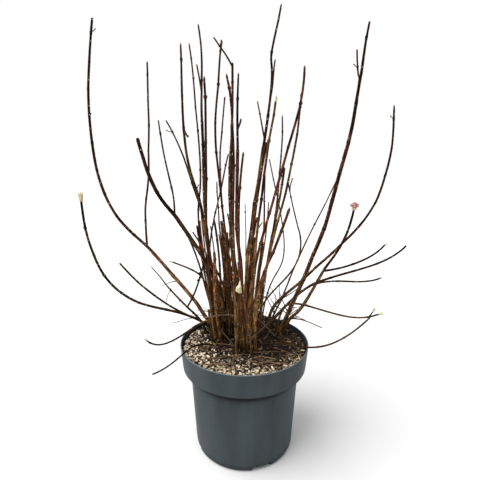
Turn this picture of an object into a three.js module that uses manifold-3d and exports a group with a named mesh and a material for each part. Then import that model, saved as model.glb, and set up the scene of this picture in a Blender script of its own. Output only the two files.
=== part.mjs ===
// A dwarf fragrant viburnum in bare winter wood, standing in its ten-litre nursery pot.
// Millimetres, +Z up. The origin is the middle of the pot's flat underside, and the front is towards -Y.
// Long whippy canes rise from the soil as one broad clump. A cane that forks ends in a mass of twigs.

import * as THREE from "three";
import { mergeVertices } from "three/addons/utils/BufferGeometryUtils.js";
import Module from "manifold-3d";

const wasm = await Module();
wasm.setup();

// Driving dimensions of the pot
const POT_HEIGHT = 238;
const RIM_RADIUS = 140;
const COLLAR_DEPTH = 51;
const COLLAR_RADIUS = 135; // at the collar's lower edge
const BODY_RADIUS = 119.5; // under the collar
const BASE_RADIUS = 109;
const BASE_CORNER = 8;
const CORNER_STEPS = 3;
const WALL = 2.5;
const LIP_BEVEL = 1; // on the rim and on the collar's lower edge
const POT_SIDES = 44;

// Driving dimensions of the pot's foot: a middle disc and an outer ring stand on the floor, with a channel
// between them that four notches in the ring drain
const DISC_RADIUS = 70;
const CHANNEL_HEIGHT = 11;
const CHANNEL_DRAFT = 3; // how far each side of the channel leans in
const RING_INNER_RADIUS = 96;
const NOTCH_WIDTH = 42;
const NOTCH_HEIGHT = 10;
const NOTCH_FIRST_ANGLE = -71; // degrees from +X, so that one notch shows to the right of the front
const NOTCHES = 4;

// Driving dimensions of the soil and of the clump
const SOIL_LEVEL = 226;
const SOIL_EDGE_DROP = 2; // the soil slopes down a little where it meets the wall
const SOIL_EDGE_WIDTH = 6;
const GAP = 0.3; // between pieces that touch
const LEADER_GAP = 0.4; // along the line, so that the two flat ends stay clear
const FOOT_FLARE = 0.35; // how much wider a cane is at the soil than its plain taper
const FLARE_HEIGHT = 14;
const NODE_SPACING = 56; // between the pairs of buds on a twig
const TOP_SHARE = 0.5; // how far the last pair is from the tip, as a share of that spacing
const SPUR_CHANCE = 0.04;
const SPUR_CLEARANCE = 13;
const SPUR_LENGTH = [7, 14];
const SPUR_THICK = [2.2, 1.6];
const SPUR_BUD = [5, 2.6];
const SIDE_BUD_LENGTH = [5, 7];
const SIDE_BUD_WIDTH = 2.5;
const BUD_SPREAD = 0.26; // how far a bud leans out from its twig, for each length along it
const SPUR_SPREAD = 0.8;
const SUNK = 0.25; // the share of a bud's foot that is in the wood

// How a limb spreads towards the back or the front: the share of its depth that it has covered at its two
// inner control points. A cane arches as the side of a vase does, a shoot runs straighter.
const CANE_ARCH = [0.45, 0.85];
const SHOOT_ARCH = [0.36, 0.7];
const HOLD = [0.38, 0.38];

// The outline of a bud on a tip: how far up it each ring lies, and its share of the bud's width there
const BUD_OUTLINE = [[0.35, 1], [0.7, 0.8], [1, 0.24]];

// How the wood thins along a limb: a little faster near its foot, because the power is under one
const TAPER_POWER = 0.85;
const FOOT_CROWDING = 1.25; // draws a cane's lower rings towards its foot, so that the flare shows

// How finely the limbs are faceted
const SLIM_CANE = 5.2; // a cane thinner than this has the sides of a twig
const CANE_SIDES = 6;
const TWIG_SIDES = 5;
const SHOOT_SIDES = 4;
const SPUR_SIDES = 3;
const SAMPLES = 40; // along a centre line, where its bend or its distance from others is measured
const FEWEST_STEPS = 5;
const TURN_PER_STEP = 6.5; // degrees of bend that one straight run stands for

// Wood and bud colours
const BARK_OLD = 0x5b4527;
const BARK_YOUNG = 0x3a1c14;
const POT_PLASTIC = 0x49525a;
const SOIL_BROWN = 0x33241a;

// The canes. foot is where a cane leaves the soil [x, y], and tip is its far end [x, y, z]. lean is its slant
// from upright at its two ends in degrees, seen from the front and positive to the right, and hold is the
// share of its chord over which each slant lasts. thick is its diameter at its two ends, and bud is the
// length and the width of the bud on its tip.
const SMALL_BUD = [7, 3.2];
const CANES = [
  { name: "cane_left_tall", foot: [-70, 75], tip: [-216, 85, 418], lean: [-36, -40],
    hold: [0.46, 0.93], thick: [9, 7.4] },
  { name: "cane_left_stout", foot: [-45, 35], tip: [-137, -10, 509], lean: [6, -33],
    hold: [0.33, 0.44], thick: [8.6, 7.8] },
  { name: "cane_left_leaning", foot: [-55, 84], tip: [-93, 60, 503], lean: [19, -6],
    hold: [0.42, 0.8], thick: [7.8, 6.4] },
  { name: "cane_left_sweeping", foot: [-72, 60], tip: [-320, -30, 565], lean: [-31, 1],
    hold: [0.34, 0.77], thick: [5.8, 4.4], bud: [18, 8] },
  { name: "cane_left_short", foot: [-80, 82], tip: [-297, 95, 386], lean: [-36, -38],
    hold: [0.11, 0.61], thick: [5.4, 4.2] },
  { name: "cane_left_slim", foot: [-62, 92], tip: [-148, 130, 472], lean: [-24, -24],
    hold: [0.45, 0.56], thick: [4.7, 4.1] },
  { name: "cane_left_upright", foot: [-62, 62], tip: [-132, 200, 905], lean: [-11, -6],
    hold: [0.74, 0.85], thick: [5.2, 3.4], bud: SMALL_BUD },
  { name: "cane_left_green_bud", foot: [-62, 45], tip: [-166, 30, 410], lean: [-14, -70],
    hold: [0.74, 0.53], thick: [4.2, 3.4], bud: [9, 4.5] },
  { name: "cane_left_low", foot: [-88, 50], tip: [-130, 60, 286], lean: [-21, -45],
    hold: [0.45, 0.63], thick: [5.8, 5] },
  { name: "cane_over_rim_back_left", foot: [-72, 24], tip: [-218, -11, 246], lean: [7, -36],
    hold: [0.92, 0.61], thick: [4.4, 3.4], bud: [8, 4.2] },
  { name: "cane_over_rim_front_left", foot: [-68, -6], tip: [-179, -99, 216], lean: [-49, -107],
    hold: [0.58, 0.54], thick: [4, 2.9] },
  { name: "cane_middle_left", foot: [-50, 18], tip: [-88, 40, 707], lean: [-7, -1],
    hold: [0.68, 0.64], thick: [6.8, 5.5] },
  { name: "cane_middle_forward_left", foot: [-58, 5], tip: [-59, -200, 734], lean: [-6, 0],
    thick: [5, 3.1], bud: SMALL_BUD },
  { name: "cane_middle_crossing", foot: [-68, 102], tip: [-39, 180, 643], lean: [-18, 12],
    hold: [0.37, 0.38], thick: [5.2, 3.4] },
  { name: "cane_middle_bowed", foot: [-36, 48], tip: [-37, -120, 806], lean: [0, 8],
    hold: [0.8, 0.4], thick: [6.2, 2.8], bud: SMALL_BUD },
  { name: "cane_middle_back_left", foot: [-30, 80], tip: [-49, 260, 796], lean: [-1, 7],
    hold: [0.5, 0.5], thick: [6.3, 3.6], bud: [10, 5] },
  { name: "cane_middle_hidden", foot: [-45, 105], tip: [-34, 230, 618], lean: [-9, -1],
    hold: [0.37, 0.85], thick: [6.3, 4.3] },
  { name: "cane_middle_elbow", foot: [-8, 18], tip: [-26, 25, 695], lean: [-2, 3],
    hold: [0.41, 0.61], thick: [7.8, 5.8] },
  { name: "cane_middle_between", foot: [-3, 3], tip: [-25, -14, 633], lean: [-1, 1],
    hold: [0.49, 0.74], thick: [7.4, 5.5] },
  { name: "cane_middle_front", foot: [2, -12], tip: [-14, -50, 642], lean: [-2, 2],
    hold: [0.54, 0.49], thick: [7.6, 5.8] },
  { name: "cane_middle_forward", foot: [-16, -42], tip: [-28, -220, 732], lean: [-2, -12],
    hold: [0.76, 0.18], thick: [5.2, 2.9], bud: SMALL_BUD },
  { name: "cane_middle_foremost", foot: [15, -45], tip: [-5, -260, 630], lean: [-3, 8],
    thick: [4.2, 2.6], bud: SMALL_BUD },
  { name: "cane_middle_whip", foot: [2, 112], tip: [4, 210, 516], lean: [4, -1], thick: [3.4, 2.2] },
  { name: "cane_middle_big_bud", foot: [-14, -28], tip: [-9, -70, 398], lean: [-1, 2],
    thick: [4.4, 3.8], bud: [24, 12] },
  { name: "cane_back_left", foot: [-28, 114], tip: [-75, 290, 575], lean: [-10, -2],
    hold: [0.4, 0.5], thick: [6.3, 3.4], bud: SMALL_BUD },
  { name: "cane_back_right", foot: [19, 109], tip: [75, 320, 515], lean: [12, 4], hold: [0.4, 0.5],
    thick: [6.3, 3.4], bud: SMALL_BUD },
  { name: "cane_right_tallest", foot: [4, 36], tip: [40, 45, 655], lean: [1, 8], hold: [0.48, 0.76],
    thick: [9, 7] },
  { name: "cane_right_beside", foot: [8, 20], tip: [41, -20, 657], lean: [2, 9],
    hold: [0.58, 0.38], thick: [6.9, 4.8] },
  { name: "cane_right_forward", foot: [13, 3], tip: [50, -110, 726], lean: [-2, 8],
    hold: [0.31, 0.38], thick: [6.3, 3.4], bud: [10, 4.6] },
  { name: "cane_right_back_short", foot: [20, 60], tip: [51, 150, 618], lean: [4, 0],
    hold: [0.65, 0.75], thick: [5.2, 3.6] },
  { name: "cane_right_thin_arch", foot: [44, 93], tip: [60, 130, 629], lean: [4, -14],
    hold: [0.53, 0.9], thick: [3.6, 2.5] },
  { name: "cane_right_back_tall", foot: [24, 92], tip: [103, 265, 750], lean: [17, -1],
    hold: [0.34, 0.28], thick: [5.9, 3.6], bud: SMALL_BUD },
  { name: "cane_right_front_tall", foot: [10, -30], tip: [82, -180, 753], lean: [-7, -5],
    hold: [0.4, 0.18], thick: [6.7, 3.1], bud: SMALL_BUD },
  { name: "cane_right_second", foot: [35, 45], tip: [89, 80, 610], lean: [4, 3], hold: [0.6, 0.25],
    thick: [6.3, 4.8] },
  { name: "cane_right_budded", foot: [22, 18], tip: [116, 40, 763], lean: [2, 4], hold: [0.3, 0.46],
    thick: [6.3, 3.8], bud: [11, 5.2] },
  { name: "cane_right_swollen", foot: [24, -16], tip: [63, -210, 555], lean: [-7, 14],
    hold: [0.49, 0.3], thick: [5, 4], bud: [12, 4.8] },
  { name: "cane_right_arch", foot: [34, 104], tip: [139, 165, 461], lean: [2, -16],
    hold: [0.36, 0.54], thick: [4.4, 3.8] },
  { name: "cane_right_slim", foot: [60, 92], tip: [231, 160, 585], lean: [26, 25],
    hold: [0.56, 0.95], thick: [4.4, 2.9], bud: SMALL_BUD },
  { name: "cane_right_stout", foot: [86, 62], tip: [222, 45, 684], lean: [21, 12],
    hold: [0.63, 0.45], thick: [10, 7] },
  { name: "cane_right_wide", foot: [58, 74], tip: [233, 105, 431], lean: [4, 44],
    hold: [0.28, 0.82], thick: [7, 5.6] },
  { name: "cane_right_blossom", foot: [90, 50], tip: [170, 20, 385], lean: [19, 24],
    hold: [0.56, 0.95], thick: [7.6, 6] },
  { name: "cane_right_low", foot: [48, 62], tip: [153, 92, 326], lean: [36, 56], hold: [0.26, 0.27],
    thick: [7, 5.8] },
  { name: "cane_right_lowest", foot: [70, 28], tip: [195, 10, 296], lean: [7, 105],
    hold: [0.82, 0.71], thick: [4.6, 3.8] },
  { name: "cane_over_rim_right", foot: [50, 6], tip: [236, -102, 337], lean: [40, 39],
    hold: [0.33, 0.78], thick: [4, 2.9], bud: SMALL_BUD },
];

// The masses of twigs. Each grows on from the tip of its cane as a leader, with side shoots that leave it at
// a share of its length, and the seeded rule adds the buds and short spurs.
const MASSES = [
  {
    name: "twigs_left_tall", on: "cane_left_tall", tip: [-321, 100, 920], lean: 10,
    hold: [0.18, 0.79], thick: [6.4, 4.2], seed: 11,
    shoots: [
      { at: 0.03, tip: [-227, 170, 854], lean: [-5, 0], hold: [0.39, 0.95], thick: [4.6, 3.6] },
    ],
  },
  {
    name: "twigs_left_stout", on: "cane_left_stout", tip: [-192, -70, 662], lean: -7,
    hold: [0.17, 0.65], thick: [7, 5.4], seed: 23,
    shoots: [{ at: 0.05, tip: [-180, 50, 708], lean: [0, -7], hold: [0.31, 0.66], thick: [3.6, 2.6] }],
  },
  {
    name: "twigs_left_leaning", on: "cane_left_leaning", tip: [-124, 20, 847], lean: 2,
    hold: [0.28, 0.82], thick: [6.1, 3.4], bud: SMALL_BUD, seed: 37,
    shoots: [
      { at: 0.04, tip: [-176, 110, 715], lean: [-19, -31], hold: [0.43, 0.31], thick: [4, 2.9] },
      { at: 0.54, tip: [-106, -40, 669], lean: [7, 15], thick: [2.7, 2.6] },
    ],
  },
  {
    name: "twigs_left_low", on: "cane_left_low", tip: [-229, 120, 370], lean: -49,
    hold: [0.82, 0.49], thick: [4.8, 2], seed: 41,
    shoots: [{ at: 0.03, tip: [-93, 62, 396], lean: [31, 12], hold: [0.36, 0.36], thick: [4.4, 3.4] }],
  },
  {
    name: "twigs_middle_left", on: "cane_middle_left", tip: [-94, 60, 895], lean: -8,
    hold: [0.33, 0.5], thick: [4.6, 3.1], bud: SMALL_BUD, seed: 53,
    shoots: [{ at: 0.26, tip: [-94, 20, 808], lean: [-6, -11], thick: [3.2, 2.6] }],
  },
  {
    name: "twigs_middle_elbow", on: "cane_middle_elbow", tip: [-25, 60, 821], lean: -1,
    thick: [4.6, 4.3], seed: 67,
    shoots: [{ at: 0.94, tip: [-66, 90, 881], lean: [-24, -35], thick: [3.4, 2.9], bud: SMALL_BUD }],
  },
  {
    name: "twigs_middle_front", on: "cane_middle_front", tip: [-12, -90, 766], lean: 3,
    hold: [0.16, 0.62], thick: [4.7, 2.9], bud: SMALL_BUD, seed: 71,
    shoots: [{ at: 0.25, tip: [-8, -130, 686], lean: [6, 10], thick: [3.2, 2.6] }],
  },
  {
    name: "twigs_right_tallest", on: "cane_right_tallest", tip: [70, 30, 919], lean: 12,
    hold: [0.95, 0.69], thick: [5.5, 3.4], bud: SMALL_BUD, seed: 83,
    shoots: [
      { at: 0.05, tip: [30, 120, 757], lean: [-8, -8], thick: [3.4, 2.6] },
      { at: 0.34, tip: [56, -10, 808], lean: [14, 6], thick: [3.2, 2.6] },
    ],
  },
  {
    name: "twigs_right_arch", on: "cane_right_arch", tip: [108, 150, 577], lean: -13,
    hold: [0.36, 0.29], thick: [3.3, 2.9], bud: SMALL_BUD, seed: 97,
    shoots: [{ at: 0.79, tip: [116, 130, 587], lean: [-10, 15], thick: [2.5, 2.4] }],
  },
  {
    name: "twigs_right_stout", on: "cane_right_stout", tip: [229, -5, 874], lean: 5,
    hold: [0.14, 0.73], thick: [6.8, 3.4], seed: 101,
    shoots: [{ at: 0.34, tip: [229, 60, 847], lean: [7, -2], hold: [0.77, 0.94], thick: [3.6, 2.8] }],
  },
  {
    name: "twigs_right_wide", on: "cane_right_wide", tip: [341, 125, 752], lean: -5,
    hold: [0.1, 0.67], thick: [5.4, 3.9], bud: SMALL_BUD, seed: 113,
    shoots: [],
  },
  {
    name: "twigs_right_blossom", on: "cane_right_blossom", tip: [219, -20, 542], lean: 2,
    hold: [0.18, 0.57], thick: [5.2, 4.2], bud: [17, 15], seed: 127,
    shoots: [
      {
        at: 0.03, tip: [334, 90, 436], lean: [88, 78], hold: [0.61, 0.1],
        thick: [4.4, 3.7], bud: [10, 4.6],
      },
    ],
  },
  {
    name: "twigs_right_low", on: "cane_right_low", tip: [404, 135, 421], lean: 41,
    hold: [0.24, 0.3], thick: [5.4, 4.1], seed: 139,
    shoots: [
      {
        at: 0.03, tip: [311, 40, 369], lean: [60, 55], hold: [0.45, 0.34],
        thick: [4.2, 3.4], bud: SMALL_BUD,
      },
    ],
  },
  {
    name: "twigs_right_lowest", on: "cane_right_lowest", tip: [306, 5, 300], lean: 65,
    hold: [0.4, 0.39], thick: [3.5, 3.2], bud: [12, 5], seed: 149,
    shoots: [{ at: 0.71, tip: [285, 0, 313], lean: [32, 25], thick: [2.6, 2.4], bud: [11, 4.8] }],
  },
];

// A closed geometry from rings of vertices and the faces between them
function closedGeometry(vertices, faces) {
  const geometry = new THREE.BufferGeometry();
  geometry.setAttribute("position", new THREE.Float32BufferAttribute(vertices, 3));
  geometry.setIndex(faces);
  return geometry;
}

// A geometry as a solid that can be joined or cut
function solidOf(geometry) {
  const bare = geometry.clone();
  for (const name of Object.keys(bare.attributes)) {
    if (name !== "position") bare.deleteAttribute(name);
  }
  const merged = mergeVertices(bare, 1e-3);
  return new wasm.Manifold(
    new wasm.Mesh({
      numProp: 3,
      vertProperties: merged.attributes.position.array,
      triVerts: new Uint32Array(merged.index.array),
    }),
  );
}

// The geometry of a solid
function geometryOf(solid) {
  const mesh = solid.getMesh();
  return closedGeometry(mesh.vertProperties, Array.from(mesh.triVerts));
}

// A profile of [radius, height] pairs turned about the upright axis
function turned(profile, sides) {
  const points = profile.map(([radius, height]) => new THREE.Vector2(radius, height));
  return new THREE.LatheGeometry(points, sides).rotateX(Math.PI / 2);
}

const COLLAR_LEVEL = POT_HEIGHT - COLLAR_DEPTH;
const FLOOR_LEVEL = CHANNEL_HEIGHT + WALL;

// The pot, turned from its outline: up the outside from the middle of the foot, over the rim, and down inside
function makePot() {
  const corner = [];
  for (let step = 0; step <= CORNER_STEPS; step++) {
    const angle = (step / CORNER_STEPS) * (Math.PI / 2);
    corner.push([
      BASE_RADIUS - BASE_CORNER * (1 - Math.sin(angle)),
      BASE_CORNER * (1 - Math.cos(angle)),
    ]);
  }
  const outside = [
    [0, 0],
    [DISC_RADIUS, 0],
    [DISC_RADIUS + CHANNEL_DRAFT, CHANNEL_HEIGHT],
    [RING_INNER_RADIUS - CHANNEL_DRAFT, CHANNEL_HEIGHT],
    [RING_INNER_RADIUS, 0],
    ...corner,
    [BODY_RADIUS, COLLAR_LEVEL],
    [COLLAR_RADIUS - LIP_BEVEL, COLLAR_LEVEL],
    [COLLAR_RADIUS, COLLAR_LEVEL + LIP_BEVEL],
    [RIM_RADIUS, POT_HEIGHT - LIP_BEVEL],
    [RIM_RADIUS - LIP_BEVEL, POT_HEIGHT],
  ];
  const inside = [
    [RIM_RADIUS - WALL, POT_HEIGHT],
    [COLLAR_RADIUS - WALL, COLLAR_LEVEL + WALL],
    [BODY_RADIUS - WALL, COLLAR_LEVEL + WALL],
    [BASE_RADIUS - WALL, FLOOR_LEVEL],
    [DISC_RADIUS + CHANNEL_DRAFT - WALL, FLOOR_LEVEL],
    [DISC_RADIUS - WALL, WALL],
    [0, WALL],
  ];
  let pot = solidOf(turned([...outside, ...inside], POT_SIDES));
  // Each notch is cut by a block from the channel outwards through the ring
  const blockInside = RING_INNER_RADIUS - CHANNEL_DRAFT;
  const blockOutside = BASE_RADIUS + CHANNEL_DRAFT;
  for (let turn = 0; turn < NOTCHES; turn++) {
    const angle = THREE.MathUtils.degToRad(NOTCH_FIRST_ANGLE) + (turn * 2 * Math.PI) / NOTCHES;
    const block = new THREE.BoxGeometry(blockOutside - blockInside, NOTCH_WIDTH, 2 * NOTCH_HEIGHT);
    block.translate((blockOutside + blockInside) / 2, 0, 0).rotateZ(angle);
    pot = pot.subtract(solidOf(block));
  }
  return geometryOf(pot);
}

// The compost, which fills the pot's inside with a small gap all round
function makeSoil() {
  const edge = WALL + GAP;
  const slope = (RIM_RADIUS - COLLAR_RADIUS) / (COLLAR_DEPTH - 1);
  const edgeRadius = COLLAR_RADIUS + slope * (SOIL_LEVEL - COLLAR_LEVEL - WALL) - edge;
  return turned(
    [
      [0, edge],
      [DISC_RADIUS - edge, edge],
      [DISC_RADIUS + CHANNEL_DRAFT - edge, FLOOR_LEVEL + GAP],
      [BASE_RADIUS - edge, FLOOR_LEVEL + GAP],
      [BODY_RADIUS - edge, COLLAR_LEVEL + edge],
      [COLLAR_RADIUS - edge, COLLAR_LEVEL + edge],
      [edgeRadius - GAP, SOIL_LEVEL - SOIL_EDGE_DROP],
      [edgeRadius - SOIL_EDGE_WIDTH, SOIL_LEVEL],
      [0, SOIL_LEVEL],
    ],
    POT_SIDES,
  );
}

// A direction that slants from upright by an angle in degrees, seen from the front
function slant(degrees) {
  const angle = THREE.MathUtils.degToRad(degrees);
  return new THREE.Vector3(Math.sin(angle), 0, Math.cos(angle));
}

// A limb's centre line from foot to tip: a cubic curve that keeps each end's slant over its hold of the chord
function centreLine(foot, tip, lean, hold, arch) {
  const depth = tip.y - foot.y;
  const chord = Math.hypot(tip.x - foot.x, tip.z - foot.z);
  const first = slant(lean[0]).multiplyScalar(chord * hold[0]).add(foot);
  const second = slant(lean[1]).multiplyScalar(-chord * hold[1]).add(tip);
  first.y = foot.y + depth * arch[0];
  second.y = foot.y + depth * arch[1];
  return new THREE.CubicBezierCurve3(foot, first, second, tip);
}

// A leader's centre line, which leaves the end of its cane in the cane's own direction
function leaderLine(cane, tip, lean, hold) {
  const direction = cane.getTangent(1);
  const foot = cane.getPoint(1).addScaledVector(direction, LEADER_GAP);
  const chord = Math.hypot(tip.x - foot.x, tip.z - foot.z);
  const first = direction.clone().multiplyScalar(chord * hold[0]).add(foot);
  const second = slant(lean).multiplyScalar(-chord * hold[1]).add(tip);
  second.y = foot.y + (tip.y - foot.y) * SHOOT_ARCH[1];
  return new THREE.CubicBezierCurve3(foot, first, second, tip);
}

// How many straight runs a limb has: more of them where it bends more
function stepsOf(line) {
  const tangents = [];
  for (let sample = 0; sample <= SAMPLES; sample++) tangents.push(line.getTangent(sample / SAMPLES));
  let turn = 0;
  for (let sample = 1; sample < tangents.length; sample++) {
    turn += tangents[sample].angleTo(tangents[sample - 1]);
  }
  return Math.max(FEWEST_STEPS, Math.ceil(THREE.MathUtils.radToDeg(turn) / TURN_PER_STEP));
}

// The [share, radius] pairs of a limb's rings: even wood, then the belly and the point of the bud on its tip
function ringSizes(line, thick, bud, steps, flare) {
  const length = line.getLength();
  const woodEnd = bud ? 1 - bud[0] / length : 1;
  const rings = [];
  for (let step = 0; step <= steps; step++) {
    const share = woodEnd * Math.pow(step / steps, flare ? FOOT_CROWDING : 1);
    const taper = thick[0] + (thick[1] - thick[0]) * Math.pow(share / woodEnd, TAPER_POWER);
    const widening = 1 + flare * Math.exp((-share * length) / FLARE_HEIGHT);
    rings.push([share, (taper * widening) / 2]);
  }
  if (bud) {
    for (const [rise, width] of BUD_OUTLINE) {
      rings.push([woodEnd + (1 - woodEnd) * rise, (bud[1] * width) / 2]);
    }
  }
  return rings;
}

// A closed limb round a centre line. Its foot is square to the line, or flat on the soil.
function limbGeometry(line, rings, sides, flatFoot) {
  const vertices = [];
  const faces = [];
  const normal = new THREE.Vector3(0, 1, 0);
  const across = new THREE.Vector3();
  for (const [share, radius] of rings) {
    const centre = line.getPointAt(share);
    const along = line.getTangentAt(share);
    normal.addScaledVector(along, -normal.dot(along)).normalize();
    across.crossVectors(along, normal);
    for (let side = 0; side < sides; side++) {
      const angle = (side / sides) * 2 * Math.PI;
      const corner = centre.clone();
      corner.addScaledVector(normal, radius * Math.cos(angle));
      corner.addScaledVector(across, radius * Math.sin(angle));
      if (flatFoot && share === 0) corner.addScaledVector(along, (centre.z - corner.z) / along.z);
      vertices.push(...corner);
    }
  }
  const last = rings.length - 1;
  for (let ring = 0; ring < last; ring++) {
    for (let side = 0; side < sides; side++) {
      const a = ring * sides + side;
      const b = ring * sides + ((side + 1) % sides);
      faces.push(a, b, b + sides, a, b + sides, a + sides);
    }
  }
  const footCentre = vertices.length / 3;
  vertices.push(...line.getPointAt(0), ...line.getPointAt(1));
  for (let side = 0; side < sides; side++) {
    const next = (side + 1) % sides;
    faces.push(footCentre, next, side);
    faces.push(footCentre + 1, last * sides + side, last * sides + next);
  }
  return closedGeometry(vertices, faces);
}

// The same run of numbers from 0 to 1 each time for one seed
function dice(seed) {
  let state = seed;
  return () => {
    state = (Math.imul(state, 1664525) + 1013904223) >>> 0;
    return state / 4294967296;
  };
}

// A value between two ends
function between([low, high], share) {
  return low + (high - low) * share;
}

// A bud as a slim six-faced spindle, its lower end sunk in the wood
function budSolid(base, direction, length, width) {
  const bud = turned([[0, -length / 2], [width / 2, 0], [0, length / 2]], 3);
  const turn = new THREE.Quaternion().setFromUnitVectors(new THREE.Vector3(0, 0, 1), direction);
  const middle = base.clone().addScaledVector(direction, length * (0.5 - SUNK / 2));
  return solidOf(bud.applyQuaternion(turn).translate(...middle));
}

// Every limb's centre line, sampled, so that no spur is grown into another limb
const limbLines = new Map();
function keepLine(name, line, index = 0) {
  limbLines.set(name + "/" + index, line.getSpacedPoints(SAMPLES));
}
function isClear(point, owner) {
  for (const [name, samples] of limbLines) {
    if (name === owner) continue;
    if (samples.some((sample) => sample.distanceTo(point) < SPUR_CLEARANCE)) return false;
  }
  return point.z > POT_HEIGHT + SPUR_CLEARANCE;
}

// The middle of the wood at a share of a limb's length: on the straight run between two of its rings
function woodMiddle(line, rings, share) {
  const above = rings.findIndex(([ringShare]) => ringShare > share);
  const [from, to] = [rings[above - 1][0], rings[above][0]];
  return line.getPointAt(from).lerp(line.getPointAt(to), (share - from) / (to - from));
}

// A mass of twigs: the leader and its shoots, each with a pair of buds at every node, a pair turned a quarter
// from the last. Where the dice say so a short spur takes a bud's place, if it stays clear of every limb.
function growMass(mass, twigLines) {
  const roll = dice(mass.seed);
  let solid = null;
  twigLines.forEach(({ line, thick, bud, sides }, index) => {
    const length = line.getLength();
    const rings = ringSizes(line, thick, bud, stepsOf(line), 0);
    const wood = solidOf(limbGeometry(line, rings, sides, false));
    solid = solid ? solid.add(wood) : wood;
    const side = new THREE.Vector3(0, 1, 0);
    const nodes = Math.floor(length / NODE_SPACING - TOP_SHARE);
    for (let node = 1; node <= nodes; node++) {
      const share = node / (nodes + TOP_SHARE);
      const radius = (thick[0] + (thick[1] - thick[0]) * share) / 2;
      const centre = woodMiddle(line, rings, share);
      const along = line.getTangentAt(share);
      side.addScaledVector(along, -side.dot(along)).normalize().applyAxisAngle(along, Math.PI / 2);
      for (const sign of [1, -1]) {
        const budLength = between(SIDE_BUD_LENGTH, roll());
        const spurLength = roll() < SPUR_CHANCE ? between(SPUR_LENGTH, roll()) : 0;
        const outward = side.clone().multiplyScalar(sign);
        const base = centre.clone().addScaledVector(outward, radius * (1 - SUNK));
        const spread = spurLength ? SPUR_SPREAD : BUD_SPREAD;
        const direction = along.clone().addScaledVector(outward, spread).normalize();
        const spurTip = base.clone().addScaledVector(direction, spurLength);
        if (spurLength && isClear(spurTip, mass.name + "/" + index)) {
          const spur = new THREE.LineCurve3(centre, spurTip);
          const spurRings = ringSizes(spur, SPUR_THICK, SPUR_BUD, 1, 0);
          solid = solid.add(solidOf(limbGeometry(spur, spurRings, SPUR_SIDES, false)));
        } else {
          solid = solid.add(budSolid(base, direction, budLength, SIDE_BUD_WIDTH));
        }
      }
    }
  });
  return geometryOf(solid);
}

const plant = new THREE.Group();

function addPiece(name, geometry, color, roughness) {
  const mesh = new THREE.Mesh(geometry, new THREE.MeshStandardMaterial({ color, roughness, metalness: 0 }));
  mesh.name = name;
  plant.add(mesh);
}

// The centre lines come first, because the spurs keep clear of all of them
const caneLines = new Map();
for (const cane of CANES) {
  const foot = new THREE.Vector3(...cane.foot, SOIL_LEVEL + GAP);
  const tip = new THREE.Vector3(...cane.tip);
  const line = centreLine(foot, tip, cane.lean, cane.hold ?? HOLD, CANE_ARCH);
  line.arcLengthDivisions = 400;
  caneLines.set(cane.name, line);
  keepLine(cane.name, line);
}
const massLines = new Map();
for (const mass of MASSES) {
  const tip = new THREE.Vector3(...mass.tip);
  const leader = leaderLine(caneLines.get(mass.on), tip, mass.lean, mass.hold ?? HOLD);
  const lines = [{ line: leader, thick: mass.thick, bud: mass.bud, sides: TWIG_SIDES }];
  for (const shoot of mass.shoots) {
    const foot = leader.getPointAt(shoot.at);
    const shootTip = new THREE.Vector3(...shoot.tip);
    const line = centreLine(foot, shootTip, shoot.lean, shoot.hold ?? HOLD, SHOOT_ARCH);
    lines.push({ line, thick: shoot.thick, bud: shoot.bud, sides: SHOOT_SIDES });
  }
  lines.forEach(({ line }, index) => {
    line.arcLengthDivisions = 400;
    keepLine(mass.name, line, index);
  });
  massLines.set(mass.name, lines);
}

addPiece("pot", makePot(), POT_PLASTIC, 0.55);
addPiece("soil", makeSoil(), SOIL_BROWN, 0.95);
for (const cane of CANES) {
  const line = caneLines.get(cane.name);
  const rings = ringSizes(line, cane.thick, cane.bud, stepsOf(line) + 1, FOOT_FLARE);
  const sides = cane.thick[0] < SLIM_CANE ? TWIG_SIDES : CANE_SIDES;
  addPiece(cane.name, limbGeometry(line, rings, sides, true), BARK_OLD, 0.7);
}
for (const mass of MASSES) {
  addPiece(mass.name, growMass(mass, massLines.get(mass.name)), BARK_YOUNG, 0.6);
}

export default plant;
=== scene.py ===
"""A dwarf fragrant viburnum in bare winter wood, standing in its nursery pot.

Lengths here are millimetres and angles are degrees. A mesh is made metres as it is put in the scene.
"""
import math
import bpy
import numpy as np
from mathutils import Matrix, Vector


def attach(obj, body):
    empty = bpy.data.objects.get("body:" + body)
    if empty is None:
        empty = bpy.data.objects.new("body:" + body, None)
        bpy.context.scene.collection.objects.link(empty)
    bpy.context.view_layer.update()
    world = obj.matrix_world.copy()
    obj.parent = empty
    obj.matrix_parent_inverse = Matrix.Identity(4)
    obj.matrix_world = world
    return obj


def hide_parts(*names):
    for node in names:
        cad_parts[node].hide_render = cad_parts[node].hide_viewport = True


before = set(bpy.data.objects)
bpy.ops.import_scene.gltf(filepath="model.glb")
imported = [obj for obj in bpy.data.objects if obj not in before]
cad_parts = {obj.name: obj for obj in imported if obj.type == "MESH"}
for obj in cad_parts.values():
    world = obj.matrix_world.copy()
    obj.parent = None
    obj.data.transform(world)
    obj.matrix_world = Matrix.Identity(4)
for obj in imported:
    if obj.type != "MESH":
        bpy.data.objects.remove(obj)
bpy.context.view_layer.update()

# Camera
# It stands close to the plant at chest height and looks a little down on it, so that the pot's rim shows as
# an ellipse with the compost inside.
MM = 0.001
CAMERA_PLACE = (-9.5, -716, 608)
CAMERA_PITCH = 11.46
CAMERA_LENS = 26.25
SENSOR_WIDTH = 36
NEAREST = 0.01

camera = bpy.data.objects.new("camera", bpy.data.cameras.new("camera"))
camera.data.lens = CAMERA_LENS
camera.data.sensor_width = SENSOR_WIDTH
camera.data.clip_start = NEAREST
camera.location = np.array(CAMERA_PLACE) * MM
camera.rotation_euler = (math.radians(90 - CAMERA_PITCH), 0, 0)
bpy.context.scene.collection.objects.link(camera)
bpy.context.scene.camera = camera


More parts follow.
